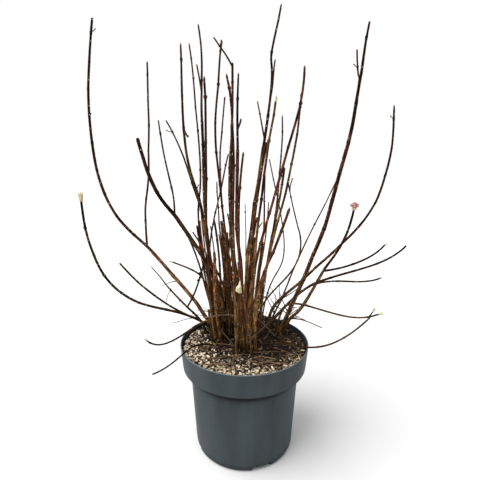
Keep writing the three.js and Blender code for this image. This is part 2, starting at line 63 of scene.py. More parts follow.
# Studio
# A white floor before a plain white background that lights nothing, so that the two meet without a line. A
# wide lamp high on the left and a little in front leaves a soft shadow to the pot's right, and a wider one
# overhead fills that in. A lamp's side is the direction it stands in, as seen from the plant.
FLOOR_RADIUS = 9000
FLOOR_SIDES = 96
FLOOR_LEVELS = (-40, -0.2)
FLOOR_WHITE = (0.77, 0.77, 0.77)
LAMPS = {
    "key_lamp": dict(side=(-1, -0.3, 1.5), strength=3.2, spread=60),
    "top_lamp": dict(side=(-0.1, 0, 1), strength=2.3, spread=165),
}


def new_material(name, roughness, specular, colour=(0.5, 0.5, 0.5)):
    """A material with one surface shader, whose constant values are set on the shader itself."""
    made = bpy.data.materials.new(name)
    made.use_nodes = True
    surface = made.node_tree.nodes["Principled BSDF"]
    surface.inputs["Base Color"].default_value = (*colour, 1)
    surface.inputs["Roughness"].default_value = roughness
    surface.inputs["Specular IOR Level"].default_value = specular
    return made


def skin(rings, **marks):
    """A closed skin over rings of points, given as (ring, side, xyz) with each ring running anticlockwise as
    seen from the ring after it. Four-sided faces join neighbouring rings, and a fan of triangles from its own
    middle closes the first and the last. Marks are values at the points, as (ring, side) or
    (ring, side, 3)."""
    count, sides = rings.shape[:2]
    index = np.arange(count * sides).reshape(count, sides)
    here, above = index[:-1], index[1:]
    quads = np.stack([here, np.roll(here, -1, 1), np.roll(above, -1, 1), above], -1).reshape(-1, 4)
    first, last = index[0], index[-1]
    foot_fan = np.stack([np.full(sides, count * sides), np.roll(first, -1), first], -1)
    top_fan = np.stack([np.full(sides, count * sides + 1), last, np.roll(last, -1)], -1)
    flat = {
        name: np.concatenate([mark.reshape(-1, *mark.shape[2:]), mark[[0, -1]].mean(1)])
        for name, mark in {"points": rings, **marks}.items()
    }
    return {**flat, "quads": quads, "triangles": np.concatenate([foot_fan, top_fan])}


def joined_mesh(name, shapes, smooth_fans=False):
    """One mesh in metres from shapes that each hold points, quads and triangles, and perhaps marks, which
    become attributes. Whole arrays go in at once."""
    starts = np.cumsum([0] + [len(shape["points"]) for shape in shapes])
    points = np.concatenate([shape["points"] for shape in shapes]) * MM
    quads = np.concatenate([shape["quads"] + start for shape, start in zip(shapes, starts)])
    triangles = np.concatenate([shape["triangles"] + start for shape, start in zip(shapes, starts)])
    corners = np.concatenate([quads.ravel(), triangles.ravel()])
    face_starts = np.concatenate([4 * np.arange(len(quads)), quads.size + 3 * np.arange(len(triangles))])
    smooth = np.concatenate([np.ones(len(quads), bool), np.full(len(triangles), smooth_fans)])
    mesh = bpy.data.meshes.new(name)
    mesh.vertices.add(len(points))
    mesh.loops.add(len(corners))
    mesh.polygons.add(len(face_starts))
    mesh.vertices.foreach_set("co", points.ravel())
    mesh.loops.foreach_set("vertex_index", corners)
    mesh.polygons.foreach_set("loop_start", face_starts)
    mesh.polygons.foreach_set("use_smooth", smooth)
    for mark in shapes[0].keys() - {"points", "quads", "triangles"}:
        values = np.concatenate([shape[mark] for shape in shapes])
        kind, field = ("FLOAT_VECTOR", "vector") if values.ndim == 2 else ("FLOAT", "value")
        mesh.attributes.new(mark, kind, "POINT").data.foreach_set(field, values.ravel())
    mesh.update(calc_edges=True)
    return mesh


def circle(sides):
    """The cosines and sines of equal turns round a circle, anticlockwise, as two arrays."""
    turns = np.arange(sides) * 2 * np.pi / sides
    return np.cos(turns), np.sin(turns)


floor_white = new_material("floor_white", 0.9, 0.2, FLOOR_WHITE)
cosines, sines = circle(FLOOR_SIDES)
floor_rings = np.zeros((2, FLOOR_SIDES, 3))
floor_rings[:, :, 0] = FLOOR_RADIUS * cosines
floor_rings[:, :, 1] = FLOOR_RADIUS * sines
floor_rings[:, :, 2] = np.array(FLOOR_LEVELS)[:, None]
floor = bpy.data.objects.new("studio_floor", joined_mesh("studio_floor", [skin(floor_rings)]))
floor.data.materials.append(floor_white)
bpy.context.scene.collection.objects.link(floor)

world = bpy.data.worlds.new("white_background")
world.use_nodes = True
world.node_tree.nodes["Background"].inputs["Color"].default_value = (1, 1, 1, 1)
world.node_tree.nodes["Background"].inputs["Strength"].default_value = 1
world.cycles_visibility.diffuse = False
world.cycles_visibility.glossy = False
bpy.context.scene.world = world
bpy.context.scene.view_settings.view_transform = "Standard"

for name, lamp in LAMPS.items():
    light = bpy.data.objects.new(name, bpy.data.lights.new(name, "SUN"))
    light.data.energy = lamp["strength"]
    light.data.angle = math.radians(lamp["spread"])
    light.rotation_euler = Vector(lamp["side"]).to_track_quat("Z", "Y").to_euler()
    bpy.context.scene.collection.objects.link(light)


# Pot
# A ten-litre nursery pot moulded in one shot from recycled slate-grey polypropylene. A deep straight collar
# overhangs the tapered body, and a ring foot with four notches lets water out of the channel under it.
POT_HEIGHT = 238
RIM_RADIUS = 140
COLLAR_DEPTH = 51
COLLAR_RADIUS = 135
BODY_RADIUS = 119.5
BASE_RADIUS = 109
WALL = 2.5
DISC_RADIUS = 70
CHANNEL_HEIGHT = 11
CHANNEL_DRAFT = 3
RING_INNER_RADIUS = 96
NOTCH_WIDTH = 42
NOTCH_HEIGHT = 10
NOTCH_FIRST_ANGLE = -71
NOTCHES = 4
POT_SIDES = 300
CORNER_STEPS = 5
LONGEST_RUN = 6
FOOT_REACH = 60
NOTCH_EDGE = 0.25
OUT_OF_ROUND = 0.0011
SLATE = (0.042, 0.053, 0.058)
SLATE_LIGHT = (0.05, 0.064, 0.069)
SLATE_DARK = (0.033, 0.043, 0.046)
# Pale colour of the real scuffs, and of the painted highlight along the rim's top.
SLATE_SCUFF_AND_HIGHLIGHT = (0.15, 0.18, 0.19)
# Painted shade under the collar's overhang: the body darkens over this depth towards the collar, darkest in a
# line at its lower edge.
COLLAR_SHADE_DEPTH = 30
COLLAR_SHADE_BY_HEIGHT = [
    (0, (1, 1, 1)), (0.28, (0.85, 0.85, 0.85)), (0.42, (0.4, 0.39, 0.38)), (0.5, (0.16, 0.15, 0.14)),
]
COLLAR_EDGE = 1.3
# Painted shade at the foot: the pot darkens below these heights towards the floor, and so round the notches.
POT_FOOT_SHADE = (2, 17)
POT_FOOT_SHADE_DARKEST = 0.35
# Painted highlight: the rim's top is paler from the first of these depths under it to the second.
RIM_HIGHLIGHT = (1.6, 0.4)
FLOW_MARKS = (30, 30, 5)
CLOUDS = (9, 9, 7)
CLOUD_DARK = (0.9, 0.9, 0.89)
CLOUD_LIGHT = (1.08, 1.09, 1.1)
SCUFFS = (60, 60, 420)
PORES = (900, 900, 900)
SHEEN = (0.42, 0.58)
COLLAR_LEVEL = POT_HEIGHT - COLLAR_DEPTH
FLOOR_LEVEL = CHANNEL_HEIGHT + WALL


def add_node(tree, kind, sockets=None, **settings):
    """A shader node with its settings, and each named socket linked or set. Gives its outputs."""
    made = tree.nodes.new("ShaderNode" + kind)
    for name, value in settings.items():
        setattr(made, name, value)
    for name, value in (sockets or {}).items():
        if isinstance(value, bpy.types.NodeSocket):
            tree.links.new(value, made.inputs[name])
        else:
            made.inputs[name].default_value = value
    return made.outputs


def add_ramp(tree, factor, stops):
    """A colour ramp over (place, colour) stops."""
    made = tree.nodes.new("ShaderNodeValToRGB")
    elements = made.color_ramp.elements
    while len(elements) < len(stops):
        elements.new(0.5)
    for element, (place, colour) in zip(elements, stops):
        element.position = place
        element.color = (*colour, 1)
    tree.links.new(factor, made.inputs["Fac"])
    return made.outputs["Color"]


def add_mix(tree, factor, first, second, way="MIX"):
    """Two colours mixed, or one laid on the other in another way."""
    made = tree.nodes.new("ShaderNodeMix")
    made.data_type = "RGBA"
    made.blend_type = way
    for index, value in ((0, factor), (6, first), (7, second)):
        if isinstance(value, bpy.types.NodeSocket):
            tree.links.new(value, made.inputs[index])
        else:
            made.inputs[index].default_value = value if index == 0 else (*value, 1)
    return made.outputs[2]


def stretched(tree, scale, place=None):
    """Object coordinates, or another place, with each axis scaled so that a pattern runs long along one."""
    if place is None:
        place = add_node(tree, "TexCoord")["Object"]
    return add_node(tree, "Mapping", {"Vector": place, "Scale": scale})["Vector"]


def noise(tree, scale, detail, place=None):
    """Soft noise from 0 to 1 over a place, with a scale of its own along each axis."""
    sockets = {"Vector": stretched(tree, scale, place), "Scale": 1, "Detail": detail}
    return add_node(tree, "TexNoise", sockets)["Fac"]


def rescaled(tree, value, start, end, low=0.0, high=1.0):
    """A value carried over from one range to another, and held at the ends of the new one."""
    sockets = {"Value": value, "From Min": start, "From Max": end, "To Min": low, "To Max": high}
    return add_node(tree, "MapRange", sockets)["Result"]


def reckoned(tree, way, *values):
    """What one step of arithmetic makes of values."""
    return add_node(tree, "Math", dict(enumerate(values)), operation=way)["Value"]


def level_of(tree):
    """The height above the floor, in metres."""
    return add_node(tree, "SeparateXYZ", {"Vector": add_node(tree, "TexCoord")["Object"]})["Z"]


def mark_of(tree, name):
    """A value that the mesh holds at its points."""
    return add_node(tree, "Attribute", attribute_name=name)["Fac"]


def bumped(tree, height, strength, depth, **under):
    """A normal that leans with the slope of a height, over another normal where one is named."""
    return add_node(tree, "Bump", {"Height": height, "Strength": strength, "Distance": depth,
                                   **under})["Normal"]


def dressed(made, **sockets):
    """The material, with its surface's sockets linked."""
    for name, value in sockets.items():
        socket = made.node_tree.nodes["Principled BSDF"].inputs[name.replace("_", " ")]
        made.node_tree.links.new(value, socket)
    return made


def one_long(vector):
    """A vector made one long."""
    return vector / np.linalg.norm(vector)


def rounded(corners):
    """An outline of (radius, height) points in which each corner given as (radius, height, fillet) is an
    arc tangent to both of its sides."""
    outline = []
    for place, corner in enumerate(corners):
        point = np.array(corner[:2], float)
        if len(corner) == 2:
            outline.append(point)
            continue
        back = one_long(np.array(corners[place - 1][:2]) - point)
        on = one_long(np.array(corners[place + 1][:2]) - point)
        half = math.acos(np.clip(back @ on, -1, 1)) / 2
        middle = point + one_long(back + on) * corner[2] / math.sin(half)
        start = point + back * corner[2] / math.tan(half) - middle
        end = point + on * corner[2] / math.tan(half) - middle
        sweep = math.pi - 2 * half
        for share in np.linspace(0, 1, CORNER_STEPS + 1):
            arm = (math.sin((1 - share) * sweep) * start + math.sin(share * sweep) * end) / math.sin(sweep)
            outline.append(middle + arm)
    return np.array(outline)


def with_runs(outline, longest):
    """The outline with points added so that no straight run of it is longer than the given length."""
    pieces = []
    for start, end in zip(outline[:-1], outline[1:]):
        count = max(1, math.ceil(np.linalg.norm(end - start) / longest))
        pieces.append(start + (end - start) * (np.arange(count) / count)[:, None])
    return np.concatenate(pieces + [outline[-1:]])


POT_OUTLINE = [
    (0.5, 0), (DISC_RADIUS, 0, 1), (DISC_RADIUS + CHANNEL_DRAFT, CHANNEL_HEIGHT, 1.5),
    (RING_INNER_RADIUS - CHANNEL_DRAFT, CHANNEL_HEIGHT, 1.5), (RING_INNER_RADIUS, 0, 0.8),
    (BASE_RADIUS - 0.4, 0, 8), (BODY_RADIUS, COLLAR_LEVEL, 1.2), (COLLAR_RADIUS, COLLAR_LEVEL, 1.4),
    (RIM_RADIUS, POT_HEIGHT, 1.1), (RIM_RADIUS - WALL, POT_HEIGHT, 0.8),
    (COLLAR_RADIUS - WALL, COLLAR_LEVEL + WALL, 1.5), (BODY_RADIUS - WALL, COLLAR_LEVEL + WALL, 1.5),
    (BASE_RADIUS - WALL, FLOOR_LEVEL, 2), (DISC_RADIUS + CHANNEL_DRAFT - WALL, FLOOR_LEVEL, 1),
    (DISC_RADIUS - WALL, WALL, 1), (0.5, WALL),
]


def notched_turns():
    """The turns of the pot's columns, in radians: even ones, with two close together at each notch's ends."""
    half = math.asin(NOTCH_WIDTH / 2 / BASE_RADIUS)
    middles = np.radians(NOTCH_FIRST_ANGLE + np.arange(NOTCHES) * 360 / NOTCHES)
    ends = (middles[:, None] + half * np.array([-1, 1])).ravel()
    edges = (ends[:, None] + np.radians([-NOTCH_EDGE, NOTCH_EDGE])).ravel() % (2 * np.pi)
    even = np.arange(POT_SIDES) * 2 * np.pi / POT_SIDES
    apart = np.abs((even[:, None] - edges + np.pi) % (2 * np.pi) - np.pi).min(1)
    turns = np.sort(np.concatenate([even[apart > np.radians(2 * NOTCH_EDGE)], edges]))
    off_middle = np.abs((turns[:, None] - middles + np.pi) % (2 * np.pi) - np.pi).min(1)
    return turns, off_middle < half


def pot_rings():
    """The outline turned about the upright axis, a little out of round towards the rim. Under each notch the
    ring's foot is lifted to the notch's ceiling, so its height is the larger of its own and the notch's."""
    outline = with_runs(rounded(POT_OUTLINE), LONGEST_RUN)
    turns, in_notch = notched_turns()
    radius, height = outline.T
    foot = np.arange(len(outline)) < np.argmax(height > FOOT_REACH)
    on_ring = foot & (radius > RING_INNER_RADIUS - CHANNEL_DRAFT - 1)
    lift = np.where(on_ring[:, None] & in_notch, NOTCH_HEIGHT, 0)
    heights = np.maximum(height[:, None], lift)
    sway = 1 + OUT_OF_ROUND * np.cos(2 * turns + 0.7) * (height / POT_HEIGHT)[:, None]
    radii = radius[:, None] * sway - OUT_OF_ROUND * radius[:, None]
    return np.stack([radii * np.cos(turns), radii * np.sin(turns), heights], -1)


def slate_plastic():
    """Slate-grey plastic with soft upright flow marks, cloudy mottling and fine scuffs, and a painted
    highlight along the rim's top. Painted shade darkens it under the collar and at the foot."""
    made = new_material("slate_plastic", 0.55, 0.12)
    tree = made.node_tree
    flow = noise(tree, FLOW_MARKS, 4)
    cloud = noise(tree, CLOUDS, 2)
    mottled = add_ramp(tree, flow, [(0.3, SLATE_DARK), (0.5, SLATE), (0.72, SLATE_LIGHT)])
    clouded = add_ramp(tree, cloud, [(0.3, CLOUD_DARK), (0.7, CLOUD_LIGHT)])
    toned = add_mix(tree, 1.0, mottled, clouded, "MULTIPLY")
    marks = add_ramp(tree, noise(tree, SCUFFS, 3), [(0.66, (0, 0, 0)), (0.74, (1, 1, 1))])
    level = level_of(tree)
    # Painted highlight along the rim's top, laid on together with the real scuffs.
    rim = rescaled(tree, level, (POT_HEIGHT - RIM_HIGHLIGHT[0]) * MM, (POT_HEIGHT - RIM_HIGHLIGHT[1]) * MM, 0, 0.8)
    scuffed_and_highlit = add_mix(tree, reckoned(tree, "MULTIPLY_ADD", marks, 0.12, rim), toned, SLATE_SCUFF_AND_HIGHLIGHT)
    # Painted shade under the collar's overhang and along its lower edge.
    under = rescaled(tree, level, (COLLAR_LEVEL - COLLAR_SHADE_DEPTH) * MM, COLLAR_LEVEL * MM)
    below = reckoned(tree, "LESS_THAN", level, (COLLAR_LEVEL + COLLAR_EDGE) * MM)
    painted_shade = add_mix(tree, below, (1, 1, 1), add_ramp(tree, under, COLLAR_SHADE_BY_HEIGHT))
    # Painted shade darkening the pot towards its foot.
    foot = rescaled(tree, level, POT_FOOT_SHADE[0] * MM, POT_FOOT_SHADE[1] * MM, POT_FOOT_SHADE_DARKEST)
    painted_shade = add_mix(tree, 1.0, painted_shade, foot, "MULTIPLY")
    ripple = bumped(tree, flow, 0.1, 0.001)
    pores = bumped(tree, noise(tree, PORES, 2), 0.12, 0.0002, Normal=ripple)
    return dressed(made, Base_Color=add_mix(tree, 1.0, scuffed_and_highlit, painted_shade, "MULTIPLY"), Normal=pores,
                   Roughness=rescaled(tree, cloud, 0, 1, *SHEEN))


def put_piece(name, shapes, material, stands_for=(), smooth_fans=False):
    """Joins shapes into one piece that rides on the plant and stands for the frame's nodes named."""
    piece = bpy.data.objects.new(name, joined_mesh(name, shapes, smooth_fans))
    piece.data.materials.append(material)
    bpy.context.scene.collection.objects.link(piece)
    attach(piece, "root")
    if stands_for:
        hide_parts(*stands_for)
    return piece


put_piece("nursery_pot", [skin(pot_rings())], slate_plastic(), ["pot"])


# Compost
# Dark peaty compost with a slightly uneven top, a little higher round the clump and lower at the wall. It
# fills the pot to a finger's width under the rim.
SOIL_LEVEL = 226
SOIL_EDGE_DROP = 2
SOIL_EDGE_WIDTH = 6
GAP = 0.3
SOIL_SIDES = 260
SOIL_STEP = 1.3
SOIL_DARK = (0.012, 0.008, 0.0055)
SOIL_BROWN = (0.048, 0.03, 0.019)
SOIL_MOUND = 3.0
MOUND_SPREAD = 75
CLUMP_MIDDLE = (5, 35)
SOIL_RUN = 30
LUMPS = ((0.9, 34, 5), (0.5, 11, 6), (0.35, 4.2, 7))
CRUMBS = (260, 260, 260)
DAMP_PATCHES = (28, 28, 28)
SOIL_EDGE_RADIUS = (COLLAR_RADIUS - WALL - GAP
                    + (RIM_RADIUS - COLLAR_RADIUS) / (COLLAR_DEPTH - 1) * (SOIL_LEVEL - COLLAR_LEVEL - WALL))


def uneven(x, y, size, seed):
    """A smooth uneven field from about -1 to 1: the sum of nine waves with seeded directions, and with
    lengths near a size."""
    draw = np.random.default_rng(seed)
    field = np.zeros(np.broadcast(x, y).shape)
    for angle, phase, stretch in draw.uniform((0, 0, 0.6), (2 * np.pi, 2 * np.pi, 1.6), (9, 3)):
        field += np.sin((x * math.cos(angle) + y * math.sin(angle)) * 2 * np.pi / size / stretch + phase)
    return field / 3.6


def soil_height(x, y):
    """The compost's surface: a low bell-shaped mound round the clump, a drop at the wall, and lumps, given as
    (height, size, seed) rows, which fade at the wall."""
    radius = np.hypot(x, y)
    from_clump = np.hypot(x - CLUMP_MIDDLE[0], y - CLUMP_MIDDLE[1])
    mound = SOIL_MOUND * np.exp(-((from_clump / MOUND_SPREAD) ** 2))
    drop = SOIL_EDGE_DROP * np.clip((radius - SOIL_EDGE_RADIUS + SOIL_EDGE_WIDTH) / SOIL_EDGE_WIDTH, 0, 1)
    lumps = sum(height * uneven(x, y, size, seed) for height, size, seed in LUMPS)
    return SOIL_LEVEL + mound - drop + lumps * np.clip((SOIL_EDGE_RADIUS - radius) / 3, 0.25, 1)


def soil_rings():
    """The outline of the fill turned about the upright axis, from the middle of its underside out, up inside
    the wall, and in over the top, whose heights are the surface's own."""
    edge = WALL + GAP
    buried = with_runs(np.array([
        (0.5, edge), (DISC_RADIUS - edge, edge), (DISC_RADIUS + CHANNEL_DRAFT - edge, FLOOR_LEVEL + GAP),
        (BASE_RADIUS - edge, FLOOR_LEVEL + GAP), (BODY_RADIUS - edge, COLLAR_LEVEL + edge),
        (COLLAR_RADIUS - edge, COLLAR_LEVEL + edge), (SOIL_EDGE_RADIUS - 1, SOIL_LEVEL - 8),
    ]), SOIL_RUN)
    top_radii = np.arange(SOIL_EDGE_RADIUS - GAP, 0.4, -SOIL_STEP)
    cosines, sines = circle(SOIL_SIDES)
    radii = np.concatenate([buried[:, 0], top_radii])[:, None]
    x, y = radii * cosines, radii * sines
    z = np.repeat(np.concatenate([buried[:, 1], top_radii])[:, None], SOIL_SIDES, 1)
    z[len(buried):] = soil_height(x[len(buried):], y[len(buried):])
    return np.stack([x, y, z], -1)


def damp_compost():
    """Nearly black peat with brown crumbs, matt and rough."""
    made = new_material("damp_compost", 0.95, 0.15)
    tree = made.node_tree
    crumbs = noise(tree, CRUMBS, 6)
    both = reckoned(tree, "MULTIPLY", crumbs, noise(tree, DAMP_PATCHES, 2))
    return dressed(made, Base_Color=add_ramp(tree, both, [(0.16, SOIL_DARK), (0.4, SOIL_BROWN)]),
                   Normal=bumped(tree, crumbs, 0.8, 0.0015))


put_piece("compost", [skin(soil_rings())], damp_compost(), ["soil"], smooth_fans=True)


# Canes
# Long whippy stems that rise from the compost as one clump. Old wood near the foot is khaki and tan, and
# young wood above is smooth and dark reddish brown. A pair of buds or scars sits at each node.
SMALL_BUD = (7, 3.2)

# A row gives the foot where the cane leaves the compost (x, y), the tip at its far end, its lean from upright
# at both ends as the front shows it, the share of its chord over which each lean holds, how thick it is at
# both ends, and the length and width of the bud on its tip.
CANES_LEFT = {
    "cane_left_tall": dict(foot=(-70, 75), tip=(-216, 85, 418), lean=(-36, -40), hold=(0.46, 0.93),
                           thick=(9, 7.4)),
    "cane_left_stout": dict(foot=(-45, 35), tip=(-137, -10, 509), lean=(6, -33), hold=(0.33, 0.44),
                            thick=(8.6, 7.8)),
    "cane_left_leaning": dict(foot=(-55, 84), tip=(-93, 60, 503), lean=(19, -6), hold=(0.42, 0.8),
                              thick=(7.8, 6.4)),
    "cane_left_sweeping": dict(foot=(-72, 60), tip=(-320, -30, 565), lean=(-31, 1), hold=(0.34, 0.77),
                               thick=(5.8, 4.4), bud=(18, 8)),
    "cane_left_short": dict(foot=(-80, 82), tip=(-297, 95, 386), lean=(-36, -38), hold=(0.11, 0.61),
                            thick=(5.4, 4.2)),
    "cane_left_slim": dict(foot=(-62, 92), tip=(-148, 130, 472), lean=(-24, -24), hold=(0.45, 0.56),
                           thick=(4.7, 4.1)),
    "cane_left_upright": dict(foot=(-62, 62), tip=(-132, 200, 905), lean=(-11, -6), hold=(0.74, 0.85),
                              thick=(5.2, 3.4), bud=SMALL_BUD),
    "cane_left_green_bud": dict(foot=(-62, 45), tip=(-166, 30, 410), lean=(-14, -70), hold=(0.74, 0.53),
                                thick=(4.2, 3.4), bud=(9, 4.5)),
    "cane_left_low": dict(foot=(-88, 50), tip=(-130, 60, 286), lean=(-21, -45), hold=(0.45, 0.63),
                          thick=(5.8, 5)),
    "cane_over_rim_back_left": dict(foot=(-72, 24), tip=(-218, -11, 246), lean=(7, -36),
                                    hold=(0.92, 0.61), thick=(4.4, 3.4), bud=(8, 4.2)),
    "cane_over_rim_front_left": dict(foot=(-68, -6), tip=(-179, -99, 216), lean=(-49, -107),
                                     hold=(0.58, 0.54), thick=(4, 2.9)),
}
CANES_MIDDLE = {
    "cane_middle_left": dict(foot=(-50, 18), tip=(-88, 40, 707), lean=(-7, -1), hold=(0.68, 0.64),
                             thick=(6.8, 5.5)),
    "cane_middle_forward_left": dict(foot=(-58, 5), tip=(-59, -200, 734), lean=(-6, 0), thick=(5, 3.1),
                                     bud=SMALL_BUD),
    "cane_middle_crossing": dict(foot=(-68, 102), tip=(-39, 180, 643), lean=(-18, 12), hold=(0.37, 0.38),
                                 thick=(5.2, 3.4)),
    "cane_middle_bowed": dict(foot=(-36, 48), tip=(-37, -120, 806), lean=(0, 8), hold=(0.8, 0.4),
                              thick=(6.2, 2.8), bud=SMALL_BUD),
    "cane_middle_back_left": dict(foot=(-30, 80), tip=(-49, 260, 796), lean=(-1, 7), hold=(0.5, 0.5),
                                  thick=(6.3, 3.6), bud=(10, 5)),
    "cane_middle_hidden": dict(foot=(-45, 105), tip=(-34, 230, 618), lean=(-9, -1), hold=(0.37, 0.85),
                               thick=(6.3, 4.3)),
    "cane_middle_elbow": dict(foot=(-8, 18), tip=(-26, 25, 695), lean=(-2, 3), hold=(0.41, 0.61),
                              thick=(7.8, 5.8)),
    "cane_middle_between": dict(foot=(-3, 3), tip=(-25, -14, 633), lean=(-1, 1), hold=(0.49, 0.74),
                                thick=(7.4, 5.5)),
    "cane_middle_front": dict(foot=(2, -12), tip=(-14, -50, 642), lean=(-2, 2), hold=(0.54, 0.49),
                              thick=(7.6, 5.8)),
    "cane_middle_forward": dict(foot=(-16, -42), tip=(-28, -220, 732), lean=(-2, -12), hold=(0.76, 0.18),
                                thick=(5.2, 2.9), bud=SMALL_BUD),
    "cane_middle_foremost": dict(foot=(15, -45), tip=(-5, -260, 630), lean=(-3, 8), thick=(4.2, 2.6),
                                 bud=SMALL_BUD),
    "cane_middle_whip": dict(foot=(2, 112), tip=(4, 210, 516), lean=(4, -1), thick=(3.4, 2.2)),
    "cane_middle_big_bud": dict(foot=(-14, -28), tip=(-9, -70, 398), lean=(-1, 2), thick=(4.4, 3.8),
                                bud=(24, 12)),
    "cane_back_left": dict(foot=(-28, 114), tip=(-75, 290, 575), lean=(-10, -2), hold=(0.4, 0.5),
                           thick=(6.3, 3.4), bud=SMALL_BUD),
    "cane_back_right": dict(foot=(19, 109), tip=(75, 320, 515), lean=(12, 4), hold=(0.4, 0.5),
                            thick=(6.3, 3.4), bud=SMALL_BUD),
}
CANES_RIGHT = {
    "cane_right_tallest": dict(foot=(4, 36), tip=(40, 45, 655), lean=(1, 8), hold=(0.48, 0.76),
                               thick=(9, 7)),
    "cane_right_beside": dict(foot=(8, 20), tip=(41, -20, 657), lean=(2, 9), hold=(0.58, 0.38),
                              thick=(6.9, 4.8)),
    "cane_right_forward": dict(foot=(13, 3), tip=(50, -110, 726), lean=(-2, 8), hold=(0.31, 0.38),
                               thick=(6.3, 3.4), bud=(10, 4.6)),
    "cane_right_back_short": dict(foot=(20, 60), tip=(51, 150, 618), lean=(4, 0), hold=(0.65, 0.75),
                                  thick=(5.2, 3.6)),
    "cane_right_thin_arch": dict(foot=(44, 93), tip=(60, 130, 629), lean=(4, -14), hold=(0.53, 0.9),
                                 thick=(3.6, 2.5)),
    "cane_right_back_tall": dict(foot=(24, 92), tip=(103, 265, 750), lean=(17, -1), hold=(0.34, 0.28),
                                 thick=(5.9, 3.6), bud=SMALL_BUD),
    "cane_right_front_tall": dict(foot=(10, -30), tip=(82, -180, 753), lean=(-7, -5), hold=(0.4, 0.18),
                                  thick=(6.7, 3.1), bud=SMALL_BUD),
    "cane_right_second": dict(foot=(35, 45), tip=(89, 80, 610), lean=(4, 3), hold=(0.6, 0.25),
                              thick=(6.3, 4.8)),
    "cane_right_budded": dict(foot=(22, 18), tip=(116, 40, 763), lean=(2, 4), hold=(0.3, 0.46),
                              thick=(6.3, 3.8), bud=(11, 5.2)),
    "cane_right_swollen": dict(foot=(24, -16), tip=(63, -210, 555), lean=(-7, 14), hold=(0.49, 0.3),
                               thick=(5, 4), bud=(12, 4.8)),
    "cane_right_arch": dict(foot=(34, 104), tip=(139, 165, 461), lean=(2, -16), hold=(0.36, 0.54),
                            thick=(4.4, 3.8)),
    "cane_right_slim": dict(foot=(60, 92), tip=(231, 160, 585), lean=(26, 25), hold=(0.56, 0.95),
                            thick=(4.4, 2.9), bud=SMALL_BUD),
    "cane_right_stout": dict(foot=(86, 62), tip=(222, 45, 684), lean=(21, 12), hold=(0.63, 0.45),
                             thick=(10, 7)),
    "cane_right_wide": dict(foot=(58, 74), tip=(233, 105, 431), lean=(4, 44), hold=(0.28, 0.82),
                            thick=(7, 5.6)),
    "cane_right_blossom": dict(foot=(90, 50), tip=(170, 20, 385), lean=(19, 24), hold=(0.56, 0.95),
                               thick=(7.6, 6)),
    "cane_right_low": dict(foot=(48, 62), tip=(153, 92, 326), lean=(36, 56), hold=(0.26, 0.27),
                           thick=(7, 5.8)),
    "cane_right_lowest": dict(foot=(70, 28), tip=(195, 10, 296), lean=(7, 105), hold=(0.82, 0.71),
                              thick=(4.6, 3.8)),
    "cane_over_rim_right": dict(foot=(50, 6), tip=(236, -102, 337), lean=(40, 39), hold=(0.33, 0.78),
                                thick=(4, 2.9), bud=SMALL_BUD),
}
CANE_ARCH = (0.45, 0.85)
SHOOT_ARCH = (0.36, 0.7)
HOLD = (0.38, 0.38)
LEADER_GAP = 0.4
TAPER_POWER = 0.85
BARK_FULLNESS = (1.08, 1.14)
FOOT_FLARE = 0.35
FLARE_HEIGHT = 14
FOOT_IN_SOIL = 6
RING_STEP = 1.7
CANE_SIDES = 14
CUT_END = 0.9
CUT_OVERLAP = 1.5
BUDDED_END = 0.8
CANE_NODES = (44, 66)
MOST_NODES = 30
FIRST_NODE = 70
FIRST_GAP = (0.3, 1)
NODES_END = 14
FINE = np.linspace(0, 1, 401)
FINE_STEP = 1e-4
WANDER = 1.3
WANDER_SHARE = 0.25
QUARTER_PLAY = 0.25
TONE_LENGTH = (120, 260)
SHADE = (0.5, 1.6)
TWIG_SHADE = 0.5
RIBS = ((2, 90, 0.03), (3, 61, 0.018), (5, 74, 0.014), (4, 9.5, 0.012), (7, 13, 0.01), (1, 6.3, 0.012),
        (3, 4.7, 0.01))
NODE_BELL = 2.5
NODE_HEIGHT = (0.2, 0.12)
NODE_ROUND = 0.35
NODES_FROM_END = 3
BUD_SHARE = 0.8
OWN_TONE = 0.6
GRAIN_SHIFT = 37.0


def curve_points(hold_points, places):
    """Points on a cubic curve: the four hold points weighted by the shares of a cubic Bernstein sum."""
    t = np.asarray(places)[:, None]
    first, second, third, fourth = hold_points
    return ((1 - t) ** 3 * first + 3 * t * (1 - t) ** 2 * second + 3 * t * t * (1 - t) * third
            + t ** 3 * fourth)


def curve_run(hold_points):
    """The distance along a cubic curve from its start to each of the fine places."""
    steps = np.linalg.norm(np.diff(curve_points(hold_points, FINE), axis=0), axis=1)
    return np.concatenate([[0], np.cumsum(steps)])


def traced(hold_points, distances):
    """Points and unit tangents at distances along a cubic curve. Beyond an end it runs straight on."""
    run = curve_run(hold_points)
    inside = np.clip(distances, 0, run[-1])
    places = np.interp(inside, run, FINE)
    before = curve_points(hold_points, np.clip(places - FINE_STEP, 0, 1))
    after = curve_points(hold_points, np.clip(places + FINE_STEP, 0, 1))
    along = (after - before) / np.linalg.norm(after - before, axis=1, keepdims=True)
    return curve_points(hold_points, places) + along * (distances - inside)[:, None], along


def slant(degrees):
    """A direction that slants from upright, seen from the front."""
    return np.array([math.sin(math.radians(degrees)), 0, math.cos(math.radians(degrees))])


def centre_line(foot, tip, lean, hold, arch):
    """A limb's four hold points. Each inner one lies along the slant at its end, at its hold of the chord as
    the front shows it, and has covered its share of the depth."""
    foot, tip = np.array(foot, float), np.array(tip, float)
    chord = math.hypot(tip[0] - foot[0], tip[2] - foot[2])
    first = foot + slant(lean[0]) * chord * hold[0]
    second = tip - slant(lean[1]) * chord * hold[1]
    first[1] = foot[1] + (tip[1] - foot[1]) * arch[0]
    second[1] = foot[1] + (tip[1] - foot[1]) * arch[1]
    return np.array([foot, first, second, tip])


